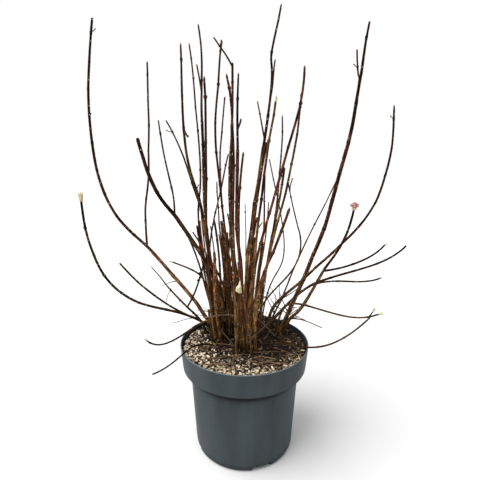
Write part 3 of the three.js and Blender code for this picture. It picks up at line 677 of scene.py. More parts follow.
def leader_line(cane, tip, lean, hold):
    """The hold points of a leader, which leaves the end of its cane in the cane's own direction."""
    end, along = traced(cane, curve_run(cane)[-1:])
    foot = end[0] + along[0] * LEADER_GAP
    tip = np.array(tip, float)
    chord = math.hypot(tip[0] - foot[0], tip[2] - foot[2])
    second = tip - slant(lean) * chord * hold[1]
    second[1] = foot[1] + (tip[1] - foot[1]) * SHOOT_ARCH[1]
    return np.array([foot, foot + along[0] * chord * hold[0], second, tip])


def across(vectors, axes):
    """Vectors with what they share with unit axes taken out, made one long."""
    left = vectors - (vectors * axes).sum(-1, keepdims=True) * axes
    return left / np.linalg.norm(left, axis=-1, keepdims=True)


class Limb:
    """A limb's centre line, its wood's diameters, and its nodes. Between nodes the wood runs straight, and at
    each it turns a little, so the line's offsets are linear from node to node and nothing at its ends."""

    def __init__(self, hold_points, thick, bud, nodes, seed, before=0, flare=0):
        self.hold_points = hold_points
        self.length = curve_run(hold_points)[-1]
        self.wood = self.length - (bud[0] * BUD_SHARE if bud else 0)
        self.thick = thick
        self.bud = bud
        self.nodes = np.array([node for node in nodes if node < self.wood - NODES_FROM_END])
        self.seed = seed
        self.before = before
        self.flare = flare
        draw = np.random.default_rng(seed)
        self.offsets = draw.uniform(-1, 1, (len(self.nodes), 2)) * min(WANDER, WANDER_SHARE * thick[0])
        self.turns = (np.pi / 2 * np.arange(len(self.nodes))
                      + draw.uniform(-QUARTER_PLAY, QUARTER_PLAY, len(self.nodes)))
        self.tone = draw.uniform(-1, 1)
        self.tone_phase = draw.uniform(0, 2 * np.pi)
        self.tone_length = draw.uniform(*TONE_LENGTH)
        self.shade = draw.uniform(*SHADE) * (TWIG_SHADE if before else 1)

    def frame_at(self, distances):
        """The centre, tangent and two cross directions at distances along, the wander included."""
        distances = np.atleast_1d(np.asarray(distances, float))
        centre, along = traced(self.hold_points, distances)
        normal = across(np.array([0.0, 1, 0]), along)
        side = np.cross(along, normal)
        spots = np.concatenate([[0], self.nodes, [self.length]])
        for column, direction in ((0, normal), (1, side)):
            offsets = np.concatenate([[0], self.offsets[:, column], [0]])
            centre = centre + np.interp(distances, spots, offsets)[:, None] * direction
        return centre, along, normal, side

    def spot_at(self, distance):
        """The same four at a single distance."""
        return [part[0] for part in self.frame_at(distance)]

    def radius_at(self, distances):
        """Half the wood's diameter: it thins by a power of the share covered, and flares at a cane's foot."""
        share = np.clip(np.asarray(distances, float) / self.wood, 0, 1)
        taper = self.thick[0] + (self.thick[1] - self.thick[0]) * share ** TAPER_POWER
        return taper * (1 + self.flare * np.exp(-np.maximum(distances, 0) / FLARE_HEIGHT)) / 2

    def skin(self, sides, start, end, shrink=1):
        """The wood's skin. The taper carries the ribs, which are sines round and along the wood given as
        (folds, wave length, height) rows, and at each node a swelling that is a bell along the wood and
        widest under the two buds."""
        distances = np.linspace(start, end, max(4, round((end - start) / RING_STEP)))
        centre, along, normal, side = self.frame_at(distances)
        turn = np.arange(sides) * 2 * np.pi / sides
        run = (distances + self.before)[:, None]
        draw = np.random.default_rng(self.seed + 500)
        relief = np.zeros((len(distances), sides))
        for folds, wave, height in RIBS:
            phase = draw.uniform(0, 2 * np.pi)
            relief += height * np.sin(folds * turn + 2 * np.pi * run / wave + phase)
        radius = BARK_FULLNESS[bool(self.before)] * self.radius_at(distances)[:, None] * (1 + relief)
        nearness = np.zeros_like(distances)
        for node, facing in zip(self.nodes, self.turns):
            bell = np.exp(-(((distances - node) / NODE_BELL) ** 2))
            nearness += bell
            height = NODE_HEIGHT[0] + NODE_HEIGHT[1] * self.radius_at(node)
            bulge = NODE_ROUND + (1 - NODE_ROUND) * np.cos(turn - facing) ** 2
            radius += height * bell[:, None] * bulge
        radius[-2:] *= shrink
        rings = (centre[:, None] + radius[..., None]
                 * (np.cos(turn)[:, None] * normal[:, None] + np.sin(turn)[:, None] * side[:, None]))
        grain = np.stack([radius * np.cos(turn), radius * np.sin(turn),
                          np.broadcast_to(run, radius.shape)], -1)
        sway = np.sin(2 * np.pi * run / self.tone_length + self.tone_phase)
        tone = np.broadcast_to(OWN_TONE * self.tone + (1 - OWN_TONE) * sway, radius.shape)
        return skin(rings, grain=grain + GRAIN_SHIFT * self.seed % 1000, tone=tone, girth=radius,
                    shade=np.full_like(radius, self.shade), node=np.repeat(nearness[:, None], sides, 1))


def cane_nodes(length, seed):
    """The distances of a cane's nodes from the compost, seeded, one after another."""
    draw = np.random.default_rng(seed + 90)
    gaps = draw.uniform(*CANE_NODES, MOST_NODES)
    nodes = FIRST_NODE + np.cumsum(gaps) - gaps[0] * draw.uniform(*FIRST_GAP)
    return nodes[nodes < length - NODES_END]


def winter_bark():
    """Viburnum bark. Its colour runs from khaki at the foot through red-brown to a dark top, sooner on thin
    wood, and is streaked along the grain, with olive and russet stretches and weathered patches. Each limb
    has a shade of its own, and painted shade darkens the crowded feet of the clump. Thick wood has pale
    corky dots, and nodes are darker."""
    made = new_material("winter_bark", 0.7, 0.06)
    tree = made.node_tree
    grain = add_node(tree, "Attribute", attribute_name="grain")["Vector"]
    girth = mark_of(tree, "girth")
    height = level_of(tree)
    streaks = noise(tree, STREAKS, 5, grain)
    moved = reckoned(tree, "SUBTRACT", noise(tree, BLOTCHES, 2, grain), 0.5)
    level = reckoned(tree, "MULTIPLY_ADD", moved, BLOTCH_SHIFT, rescaled(tree, height, *BARK_LEVELS))
    level = reckoned(tree, "ADD", level, rescaled(tree, girth, *YOUNG_GIRTH, 0, YOUNG_SHIFT))
    wood = add_ramp(tree, level, BARK_BY_HEIGHT)
    patch = reckoned(tree, "MULTIPLY_ADD", moved, PATCH_PLAY, mark_of(tree, "tone"))
    olive = add_ramp(tree, level, [(0, OLIVE_LOW), (1, OLIVE_HIGH)])
    wood = add_mix(tree, rescaled(tree, patch, *OLIVE_PATCHES), wood, olive)
    russet = add_ramp(tree, level, [(0, RUSSET_LOW), (1, RUSSET_HIGH)])
    wood = add_mix(tree, rescaled(tree, patch, *RUSSET_PATCHES), wood, russet)
    fibres = add_ramp(tree, streaks, [(0.3, STREAK_DARK), (0.5, (1, 1, 1)), (0.7, STREAK_LIGHT)])
    weather = add_ramp(tree, noise(tree, WEATHERING, 1, grain),
                       [(0.36, WEATHER_DARK), (0.5, (1, 1, 1)), (0.66, WEATHER_LIGHT)])
    wood = add_mix(tree, 1.0, add_mix(tree, 1.0, wood, fibres, "MULTIPLY"), weather, "MULTIPLY")
    # Painted shade: the wood darkens towards the compost, where the clump's feet crowd together.
    feet_shade = rescaled(tree, height, *FEET_SHADE_LEVELS, FEET_SHADE_DARKEST)
    wood = add_mix(tree, 1.0, wood, reckoned(tree, "MULTIPLY", mark_of(tree, "shade"), feet_shade), "MULTIPLY")
    cells = add_node(tree, "TexVoronoi", {"Vector": stretched(tree, CORK_CELLS, grain), "Scale": 1,
                                          "Randomness": 1})
    dot = rescaled(tree, cells["Distance"], *CORK_EDGE)
    chosen = reckoned(tree, "GREATER_THAN", cells["Color"], CORK_RARITY)
    cork = reckoned(tree, "MULTIPLY", dot, chosen)
    cork = reckoned(tree, "MULTIPLY", cork, rescaled(tree, girth, *CORK_GIRTH))
    wood = add_mix(tree, reckoned(tree, "MULTIPLY", cork, CORK_STRENGTH), wood, CORK)
    wood = add_mix(tree, reckoned(tree, "MULTIPLY", mark_of(tree, "node"), NODE_STRENGTH), wood, NODE_DARK)
    ridges = bumped(tree, streaks, 0.5, 0.0006)
    return dressed(made, Base_Color=wood, Normal=bumped(tree, cork, 0.5, 0.0003, Normal=ridges))


BARK_BY_HEIGHT = [
    (0.0, (0.155, 0.1, 0.042)), (0.25, (0.107, 0.057, 0.022)), (0.5, (0.064, 0.025, 0.0105)),
    (0.8, (0.038, 0.0115, 0.006)), (1.0, (0.028, 0.0085, 0.005)),
]
BARK_LEVELS = (0.24, 0.7)
YOUNG_GIRTH = (2.6, 1.2)
YOUNG_SHIFT = 0.55
BLOTCH_SHIFT = 0.9
PATCH_PLAY = 1.6
STREAKS = (0.8, 0.8, 0.05)
BLOTCHES = (0.2, 0.2, 0.03)
WEATHERING = (0.33, 0.33, 0.05)
# Painted shade at the clump's feet: the heights in metres over which it fades out, and its darkest share.
FEET_SHADE_LEVELS = (0.228, 0.285)
FEET_SHADE_DARKEST = 0.5
OLIVE_LOW = (0.18, 0.12, 0.032)
OLIVE_HIGH = (0.07, 0.046, 0.014)
OLIVE_PATCHES = (0.3, 0.8, 0, 0.85)
RUSSET_LOW = (0.122, 0.056, 0.023)
RUSSET_HIGH = (0.065, 0.0145, 0.008)
RUSSET_PATCHES = (-0.1, -0.6, 0, 0.7)
STREAK_DARK = (0.36, 0.34, 0.32)
STREAK_LIGHT = (2.2, 2.0, 1.7)
WEATHER_DARK = (0.4, 0.38, 0.36)
WEATHER_LIGHT = (1.9, 1.75, 1.5)
CORK = (0.7, 0.62, 0.48)
CORK_CELLS = (0.19, 0.19, 0.17)
CORK_EDGE = (0.25, 0.17)
CORK_RARITY = 0.62
CORK_GIRTH = (1.3, 2.2)
CORK_STRENGTH = 0.75
NODE_DARK = (0.014, 0.009, 0.007)
NODE_STRENGTH = 0.45

# Canes that the photo shows darker, lighter or redder than their own draw makes them.
SHADES = {
    "cane_left_tall": 1.5, "cane_left_stout": 0.5, "cane_left_sweeping": 0.24, "cane_left_low": 0.24,
    "cane_left_short": 0.24, "cane_middle_big_bud": 1.3,
    "cane_over_rim_front_left": 0.4, "cane_over_rim_back_left": 0.45, "cane_over_rim_right": 0.6,
    "cane_right_stout": 0.75, "cane_right_wide": 0.6, "cane_right_low": 0.55, "cane_right_lowest": 0.6,
    "cane_right_blossom": 0.65,
}
TONES = {"cane_left_tall": -0.5}

bark = winter_bark()
cane_tables = {"left": CANES_LEFT, "middle": CANES_MIDDLE, "right": CANES_RIGHT}
canes = {}
for table in cane_tables.values():
    for name, row in table.items():
        line = centre_line((*row["foot"], SOIL_LEVEL + GAP), row["tip"], row["lean"], row.get("hold", HOLD),
                           CANE_ARCH)
        seed = len(canes) + 1
        canes[name] = Limb(line, row["thick"], row.get("bud"), cane_nodes(curve_run(line)[-1], seed), seed,
                           flare=FOOT_FLARE)
        canes[name].shade = SHADES.get(name, canes[name].shade)
        canes[name].tone = TONES.get(name, canes[name].tone)
for side_name, table in cane_tables.items():
    shapes = []
    for name in table:
        cane = canes[name]
        over, end = (0, BUDDED_END) if cane.bud else (CUT_OVERLAP, CUT_END)
        shapes.append(cane.skin(CANE_SIDES, -FOOT_IN_SOIL, cane.wood + over, end))
    put_piece("canes_" + side_name, shapes, bark, list(table))


# Twigs
# Where a cane forks, a leader grows on from its end and side shoots leave it, each at its share of the
# leader's length. Every node carries a pair of buds turned a quarter from the last, and now and then a short
# spur in a bud's place.
MASSES = [
    dict(name="twigs_left_tall", on="cane_left_tall", tip=(-321, 100, 920), lean=10, hold=(0.18, 0.79),
         thick=(6.4, 4.2), seed=11,
         shoots=[dict(at=0.03, tip=(-227, 170, 854), lean=(-5, 0), hold=(0.39, 0.95), thick=(4.6, 3.6))]),
    dict(name="twigs_left_stout", on="cane_left_stout", tip=(-192, -70, 662), lean=-7, hold=(0.17, 0.65),
         thick=(7, 5.4), seed=23,
         shoots=[dict(at=0.05, tip=(-180, 50, 708), lean=(0, -7), hold=(0.31, 0.66), thick=(3.6, 2.6))]),
    dict(name="twigs_left_leaning", on="cane_left_leaning", tip=(-124, 20, 847), lean=2, hold=(0.28, 0.82),
         thick=(6.1, 3.4), bud=SMALL_BUD, seed=37,
         shoots=[dict(at=0.04, tip=(-176, 110, 715), lean=(-19, -31), hold=(0.43, 0.31), thick=(4, 2.9)),
                 dict(at=0.54, tip=(-106, -40, 669), lean=(7, 15), thick=(2.7, 2.6))]),
    dict(name="twigs_left_low", on="cane_left_low", tip=(-229, 120, 370), lean=-49, hold=(0.82, 0.49),
         thick=(4.8, 2), seed=41,
         shoots=[dict(at=0.03, tip=(-93, 62, 396), lean=(31, 12), hold=(0.36, 0.36), thick=(4.4, 3.4))]),
    dict(name="twigs_middle_left", on="cane_middle_left", tip=(-94, 60, 895), lean=-8, hold=(0.33, 0.5),
         thick=(4.6, 3.1), bud=SMALL_BUD, seed=53,
         shoots=[dict(at=0.26, tip=(-94, 20, 808), lean=(-6, -11), thick=(3.2, 2.6))]),
    dict(name="twigs_middle_elbow", on="cane_middle_elbow", tip=(-25, 60, 821), lean=-1, thick=(4.6, 4.3),
         seed=67,
         shoots=[dict(at=0.94, tip=(-66, 90, 881), lean=(-24, -35), thick=(3.4, 2.9), bud=SMALL_BUD)]),
    dict(name="twigs_middle_front", on="cane_middle_front", tip=(-12, -90, 766), lean=3, hold=(0.16, 0.62),
         thick=(4.7, 2.9), bud=SMALL_BUD, seed=71,
         shoots=[dict(at=0.25, tip=(-8, -130, 686), lean=(6, 10), thick=(3.2, 2.6))]),
    dict(name="twigs_right_tallest", on="cane_right_tallest", tip=(70, 30, 919), lean=12, hold=(0.95, 0.69),
         thick=(5.5, 3.4), bud=SMALL_BUD, seed=83,
         shoots=[dict(at=0.05, tip=(30, 120, 757), lean=(-8, -8), thick=(3.4, 2.6)),
                 dict(at=0.34, tip=(56, -10, 808), lean=(14, 6), thick=(3.2, 2.6))]),
    dict(name="twigs_right_arch", on="cane_right_arch", tip=(108, 150, 577), lean=-13, hold=(0.36, 0.29),
         thick=(3.3, 2.9), bud=SMALL_BUD, seed=97,
         shoots=[dict(at=0.79, tip=(116, 130, 587), lean=(-10, 15), thick=(2.5, 2.4))]),
    dict(name="twigs_right_stout", on="cane_right_stout", tip=(229, -5, 874), lean=5, hold=(0.14, 0.73),
         thick=(6.8, 3.4), seed=101,
         shoots=[dict(at=0.34, tip=(229, 60, 847), lean=(7, -2), hold=(0.77, 0.94), thick=(3.6, 2.8))]),
    dict(name="twigs_right_wide", on="cane_right_wide", tip=(341, 125, 752), lean=-5, hold=(0.1, 0.67),
         thick=(5.4, 3.9), bud=SMALL_BUD, seed=113, shoots=[]),
    dict(name="twigs_right_blossom", on="cane_right_blossom", tip=(219, -20, 542), lean=2,
         hold=(0.18, 0.57), thick=(5.2, 4.2), bud=(17, 15), seed=127,
         shoots=[dict(at=0.03, tip=(334, 90, 436), lean=(88, 78), hold=(0.61, 0.1), thick=(4.4, 3.7),
                      bud=(10, 4.6))]),
    dict(name="twigs_right_low", on="cane_right_low", tip=(404, 135, 421), lean=41, hold=(0.24, 0.3),
         thick=(5.4, 4.1), seed=139,
         shoots=[dict(at=0.03, tip=(311, 40, 369), lean=(60, 55), hold=(0.45, 0.34), thick=(4.2, 3.4),
                      bud=SMALL_BUD)]),
    dict(name="twigs_right_lowest", on="cane_right_lowest", tip=(306, 5, 300), lean=65, hold=(0.4, 0.39),
         thick=(3.5, 3.2), bud=(12, 5), seed=149,
         shoots=[dict(at=0.71, tip=(285, 0, 313), lean=(32, 25), thick=(2.6, 2.4), bud=(11, 4.8))]),
]
NODE_SPACING = 56
TOP_SHARE = 0.5
TWIG_SIDES = 10
TWIG_END = 0.85
LEADER_OVERLAP = 2
SPUR_SIDES = 7
SPUR_END = 0.9
SPUR_BOW = 0.5
SPUR_CHANCE = 0.04
SPUR_CLEARANCE = 13
SPUR_LENGTH = (7, 14)
SPUR_THICK = (2.2, 1.6)
SPUR_BUD = (5, 2.6)
SIDE_BUD_LENGTH = (5, 7)
SIDE_BUD_WIDTH = 2.5
BUD_SPREAD = 0.26
SPUR_SPREAD = 0.8
SIDE_BUD_SUNK = 0.25
CANE_BUD_SUNK = 0.15
CANE_BUD_LENGTH = 7
CANE_BUD_WIDTH = 2.8
CANE_BUD_SIZE = (0.45, 0.4)
CANE_BUD_PLAY = (0.8, 1.15)
OLD_WOOD = (110, 160)
BUDS_MISSING = 0.25
CLEAR_SAMPLES = 40
BUD_SEED = 40
SPUR_SEED = 900

# Masses that the photo shows darker than their own draw makes them.
DARK_MASSES = {
    "twigs_right_low": 0.45, "twigs_right_blossom": 0.45, "twigs_right_lowest": 0.5, "twigs_right_wide": 0.7,
    "twigs_left_stout": 0.6, "twigs_left_low": 0.6,
}


def dice(seed):
    """The same run of numbers from 0 to 1 each time for one seed, each made from the last: times one number,
    plus another, and the remainder over two to the power of 32."""
    state = seed
    while True:
        state = (state * 1664525 + 1013904223) % 4294967296
        yield state / 4294967296


def between(ends, share):
    """A value between two ends."""
    return ends[0] + (ends[1] - ends[0]) * share


limb_points = {}
for name, cane in canes.items():
    limb_points[name] = traced(cane.hold_points, np.linspace(0, cane.length, CLEAR_SAMPLES + 1))[0]
twigs = {}
for mass in MASSES:
    cane = canes[mass["on"]]
    leader = leader_line(cane.hold_points, mass["tip"], mass["lean"], mass.get("hold", HOLD))
    rows = [(leader, mass["thick"], mass.get("bud"), cane.length)]
    for shoot in mass["shoots"]:
        foot = traced(leader, curve_run(leader)[-1:] * shoot["at"])[0][0]
        line = centre_line(foot, shoot["tip"], shoot["lean"], shoot.get("hold", HOLD), SHOOT_ARCH)
        rows.append((line, shoot["thick"], shoot.get("bud"), cane.length))
    for index, (line, thick, bud, before) in enumerate(rows):
        length = curve_run(line)[-1]
        count = math.floor(length / NODE_SPACING - TOP_SHARE)
        nodes = length * np.arange(1, count + 1) / (count + TOP_SHARE)
        limb = Limb(line, thick, bud, nodes, cane.seed if index == 0 else 10 * mass["seed"] + index, before)
        twigs[mass["name"], index] = limb
        limb_points[mass["name"], index] = traced(line, np.linspace(0, length, CLEAR_SAMPLES + 1))[0]


def is_clear(point, owner):
    """Whether a point keeps its distance from every limb but its own, and from the pot's rim."""
    for name, points in limb_points.items():
        if name != owner and np.linalg.norm(points - point, axis=1).min() < SPUR_CLEARANCE:
            return False
    return point[2] > POT_HEIGHT + SPUR_CLEARANCE


def bud_pairs(limb):
    """The nodes of a limb in turn, each with the wood's middle, the way it grows, and the side that its first
    bud faces, a quarter on from the last. The swellings at the nodes are turned to match."""
    side = np.array([0.0, 1, 0])
    rows, facings = [], []
    for node in limb.nodes:
        centre, along, normal, beside = limb.spot_at(node)
        side = np.cross(along, across(side, along))
        facings.append(math.atan2(side @ beside, side @ normal))
        rows.append((node, centre, along, side))
    limb.turns = np.array(facings)
    return rows


side_buds = []
spurs = []
for (mass_name, index), limb in twigs.items():
    if index == 0:
        roll = dice(next(mass["seed"] for mass in MASSES if mass["name"] == mass_name))
    for node, centre, along, side in bud_pairs(limb):
        for sign in (1, -1):
            bud_length = between(SIDE_BUD_LENGTH, next(roll))
            spur_length = between(SPUR_LENGTH, next(roll)) if next(roll) < SPUR_CHANCE else 0
            outward = side * sign
            base = centre + outward * limb.radius_at(node) * (1 - SIDE_BUD_SUNK)
            direction = one_long(along + outward * (SPUR_SPREAD if spur_length else BUD_SPREAD))
            if spur_length and is_clear(base + direction * spur_length, (mass_name, index)):
                spurs.append((centre, base + direction * spur_length, outward))
            else:
                side_buds.append((base, direction, outward, bud_length, SIDE_BUD_WIDTH))
for cane in canes.values():
    draw = np.random.default_rng(cane.seed + BUD_SEED)
    for node, centre, along, side in bud_pairs(cane):
        grown = np.clip((node - OLD_WOOD[0]) / OLD_WOOD[1], 0, 1)
        for sign in (1, -1):
            size = (CANE_BUD_SIZE[0] + CANE_BUD_SIZE[1] * grown) * draw.uniform(*CANE_BUD_PLAY)
            if draw.uniform() < BUDS_MISSING * (1 - grown):
                continue
            outward = side * sign
            base = centre + outward * cane.radius_at(node) * (1 - CANE_BUD_SUNK)
            side_buds.append((base, one_long(along + outward * BUD_SPREAD), outward, CANE_BUD_LENGTH * size,
                              CANE_BUD_WIDTH * size))

tip_buds = []
twig_shapes = {"left": [], "right": []}
for (mass_name, index), limb in twigs.items():
    half = "right" if "right" in mass_name else "left"
    limb.shade *= DARK_MASSES.get(mass_name, 1)
    twig_shapes[half].append(limb.skin(TWIG_SIDES, 0 if index else -LEADER_OVERLAP, limb.wood, TWIG_END))
for count, (start, end, outward) in enumerate(spurs):
    line = np.array([start, start + (end - start) / 3,
                     start + (end - start) * 2 / 3 + outward * SPUR_BOW, end])
    spur = Limb(line, SPUR_THICK, None, [], SPUR_SEED + count)
    twig_shapes["right" if start[0] > 0 else "left"].append(spur.skin(SPUR_SIDES, 0, spur.length, SPUR_END))
    tip_buds.append((end, spur, SPUR_BUD, "brown"))
for half, shapes in twig_shapes.items():
    nodes = [mass["name"] for mass in MASSES if ("right" in mass["name"]) == (half == "right")]
    put_piece("twigs_" + half, shapes, bark, nodes)


# Cut shoots
# Shoots that were pruned back low in the clump and end in a flat cut. Each rises close beside a cane and
# follows it, and they fill the middle of the plant. Those that end far to the right are left out at the end.
SHOOT_TRIES = 900
SHOOT_LENGTH = (45, 290)
SHOOT_RUNS = [
    dict(count=62, feet=(-200, 200), length=SHOOT_LENGTH), dict(count=10, feet=(-62, -12), length=(40, 95)),
    dict(count=8, feet=(-200, -44), length=(150, 235)),
]
SHOOT_THICK = (3, 6.4)
SHOOT_TAPER = 0.8
SHOOT_END = 0.95
SHOOT_BESIDE = (1.5, 9)
SHOOT_DRIFT = (-2, 9)
SHOOT_CLEARANCE = 0.8
SHOOT_SIDES = 10
SHOOT_FRONT = -36
SHOOT_RIGHT = 44
SHOOT_SEED = 300
SHOOT_DRAW = 77
UPRIGHT = 0.72
LEFTWARD = 1.7
POT_ROOM = 118
ABOVE_RIM = 12
WOOD_STEP = 4


def curve_through(four):
    """The hold points of the cubic curve that passes four points at its start, thirds and end."""
    weights = np.array([(6, 0, 0, 0), (-5, 18, -9, 2), (2, -9, 18, -5), (0, 0, 0, 6)]) / 6
    return weights @ four


def wood_of(limb):
    """Points along a limb's middle, and the wood's radius at each."""
    distances = np.arange(0, limb.length, WOOD_STEP)
    return limb.frame_at(distances)[0], limb.radius_at(distances)


wood_rows = [wood_of(limb) for limb in [*canes.values(), *twigs.values()]]
wood_points, wood_radii = map(np.concatenate, zip(*wood_rows))
upright_canes = [cane for cane in canes.values() if cane.length > SHOOT_LENGTH[1]
                 and cane.frame_at([SHOOT_LENGTH[1] / 2, SHOOT_LENGTH[1]])[1][:, 2].min() > UPRIGHT]
upright_canes.sort(key=lambda cane: cane.hold_points[0, 0])
draw = np.random.default_rng(SHOOT_DRAW)
cut_shoots = []
for run in SHOOT_RUNS:
    hosts = [cane for cane in upright_canes if run["feet"][0] < cane.hold_points[0, 0] < run["feet"][1]]
    wanted = len(cut_shoots) + run["count"]
    for _ in range(SHOOT_TRIES):
        if len(cut_shoots) == wanted:
            break
        host = hosts[int(len(hosts) * draw.uniform() ** LEFTWARD)]
        length = between(run["length"], math.sqrt(draw.uniform()))
        thick = draw.uniform(*SHOOT_THICK)
        turn = draw.uniform(0, 2 * np.pi)
        beside = host.radius_at(length) + thick / 2 + draw.uniform(*SHOOT_BESIDE)
        drift = draw.uniform(*SHOOT_DRIFT)
        route = host.frame_at(length * np.linspace(0, 1, 4))[0]
        route = route + np.linspace(beside, beside + drift, 4)[:, None] * [math.cos(turn), math.sin(turn), 0]
        seed = SHOOT_SEED + len(cut_shoots)
        shoot = Limb(curve_through(route), (thick, SHOOT_TAPER * thick), None, cane_nodes(length, seed), seed,
                     flare=FOOT_FLARE)
        points, radii = wood_of(shoot)
        apart = np.linalg.norm(points[:, None] - wood_points, axis=2) - radii[:, None] - wood_radii
        low = points[:, 2] < POT_HEIGHT + ABOVE_RIM
        inside = np.hypot(*points[low, :2].T).max() < POT_ROOM and route[0, 1] > SHOOT_FRONT
        if inside and apart.min() > SHOOT_CLEARANCE:
            cut_shoots.append(shoot)
            wood_points = np.concatenate([wood_points, points])
            wood_radii = np.concatenate([wood_radii, radii])
cut_shoots = [shoot for shoot in cut_shoots if shoot.hold_points[-1, 0] < SHOOT_RIGHT]
shapes = [shoot.skin(SHOOT_SIDES, -FOOT_IN_SOIL, shoot.length, SHOOT_END) for shoot in cut_shoots]
put_piece("cut_shoots", shapes, bark)


# Dead twigs
# Thin dry twigs. A few stand out from the canes where they show, many cross one another low in the clump,
# and some have fallen on the compost. A row gives the limb, the distance along it, and the twig's own shape.
DEAD_TWIGS = [
    dict(on="cane_left_tall", at=144, tip=(-197, 84, 333), lean=(-62, -112), thick=(2.4, 1.4)),
    dict(on="twigs_left_low", at=61, tip=(-185, 70, 297), lean=(-140, -170), thick=(2.2, 1.4)),
    dict(on="cane_left_low", at=36, tip=(-172, 57, 250), lean=(-60, -100), thick=(2.2, 1.4)),
    dict(on="cane_right_blossom", at=46, tip=(182, 41, 246), lean=(85, 112), thick=(3, 2)),
    dict(on="cane_right_blossom", at=54, tip=(140, 37, 268), lean=(60, 100), thick=(2.2, 1.4)),
    dict(on="cane_right_forward", at=283, tip=(33, -74, 511), lean=(40, 55), thick=(2.6, 2)),
    dict(on="cane_middle_forward", at=96, tip=(-87, -50, 311), lean=(-75, -100), thick=(2.6, 1.4)),
    dict(on="cane_right_front_tall", at=96, tip=(59, -80, 287), lean=(80, 132), thick=(3.2, 2)),
    dict(on="cane_left_stout", at=36, tip=(-62, -39, 232), lean=(-130, -175), thick=(3, 1.8)),
    dict(on="cane_right_second", at=20, tip=(92, 20, 273), lean=(35, 95), thick=(2.8, 1.6)),
    dict(on="cane_middle_front", at=4, tip=(37, -60, 257), lean=(10, 150), thick=(2.6, 1.6)),
    dict(on="cane_middle_forward", at=10, tip=(-15, -75, 284), lean=(-5, 8), thick=(3.2, 2)),
]
DRY_THICK = (1.5, 3.2)
DRY_ARCH = (0.33, 0.67)
DRY_SIDES = 6
DRY_END = 0.8
DRY_SEED = 700
DRY_CLEARANCE = 0.3
DRY_DRAW = 78
CROSSING_COUNT = 110
CROSSING_TRIES = 2500
CROSSING_START = (4, 75)
CROSSING_LENGTH = (18, 62)
CROSSING_LEAN = (15, 80)
CROSSING_BEND = 0.18
CROSSING_TAPER = 0.6
CROSSING_SEED = 800
CROSSING_FROM_SOIL = 3
CROSSING_FROM_RIM = 8
FALLEN_COUNT = 36
FALLEN_LENGTH = (18, 62)
FALLEN_HEIGHT = 2.6
FALLEN_LIFT = (0, 3)
FALLEN_WAVES = np.array([0, 1, 0.5, -0.5])
FALLEN_BEND = (-0.3, 0.3)
FALLEN_TAPER = 0.7
FALLEN_SEED = 900
FALLEN_ROOM = 122
FALLEN_CLEARANCE = 1
FALLEN_SAMPLES = 12


def dry_bark():
    """Dry bark, brown to grey, streaked and a little lighter or darker from twig to twig."""
    made = new_material("dry_bark", 0.8, 0.05)
    tree = made.node_tree
    grain = add_node(tree, "Attribute", attribute_name="grain")["Vector"]
    streaks = noise(tree, DRY_STREAKS, 4, grain)
    wood = add_ramp(tree, streaks, [(0.3, DRY_DARK), (0.55, DRY_BROWN), (0.75, DRY_GREY)])
    return dressed(made, Base_Color=add_mix(tree, 1.0, wood, mark_of(tree, "shade"), "MULTIPLY"),
                   Normal=bumped(tree, streaks, 0.4, 0.0004))


DRY_STREAKS = (0.9, 0.9, 0.12)
DRY_DARK = (0.035, 0.019, 0.011)
DRY_BROWN = (0.16, 0.1, 0.06)
DRY_GREY = (0.34, 0.27, 0.2)

named_limbs = dict(canes)
for (name, index), limb in twigs.items():
    named_limbs[f"{name}_{index}" if index else name] = limb
dry_twigs = []
for row in DEAD_TWIGS:
    foot = named_limbs[row["on"]].spot_at(row["at"])[0]
    line = centre_line(foot, row["tip"], row["lean"], HOLD, DRY_ARCH)
    dry_twigs.append(Limb(line, row["thick"], None, [], DRY_SEED + len(dry_twigs)))
draw = np.random.default_rng(DRY_DRAW)
crossings = 0
for trial in range(CROSSING_TRIES):
    host = upright_canes[draw.integers(len(upright_canes))]
    start = host.spot_at(draw.uniform(*CROSSING_START))[0]
    length, thick = draw.uniform(*CROSSING_LENGTH), draw.uniform(*DRY_THICK)
    lean, turn = math.radians(draw.uniform(*CROSSING_LEAN)), draw.uniform(0, 2 * np.pi)
    ahead = np.array([math.sin(lean) * math.cos(turn), math.sin(lean) * math.sin(turn), math.cos(lean)])
    bend = across(draw.normal(0, 1, 3), ahead) * draw.uniform(-1, 1) * CROSSING_BEND * length
    thirds = np.linspace(0, 1, 4)[:, None]
    route = start + ahead * length * thirds + bend * thirds ** 2
    twig = Limb(curve_through(route), (thick, CROSSING_TAPER * thick), None, [], CROSSING_SEED + trial)
    points, radii = wood_of(twig)
    beyond = np.arange(len(points)) * WOOD_STEP > host.radius_at(0) + thick
    apart = np.linalg.norm(points[beyond, None] - wood_points, axis=2) - radii[beyond, None] - wood_radii
    low = points[:, 2] < POT_HEIGHT + CROSSING_FROM_RIM
    above = points[:, 2].min() > SOIL_LEVEL + CROSSING_FROM_SOIL
    if apart.min() > DRY_CLEARANCE and above and np.hypot(*points[low, :2].T).max(initial=0) < FALLEN_ROOM:
        dry_twigs.append(twig)
        wood_points = np.concatenate([wood_points, points])
        wood_radii = np.concatenate([wood_radii, radii])
        crossings += 1
    if crossings == CROSSING_COUNT:
        break
feet = np.array([limb.hold_points[0, :2] for limb in [*canes.values(), *cut_shoots]])
foot_radii = np.array([limb.radius_at(0) for limb in [*canes.values(), *cut_shoots]])
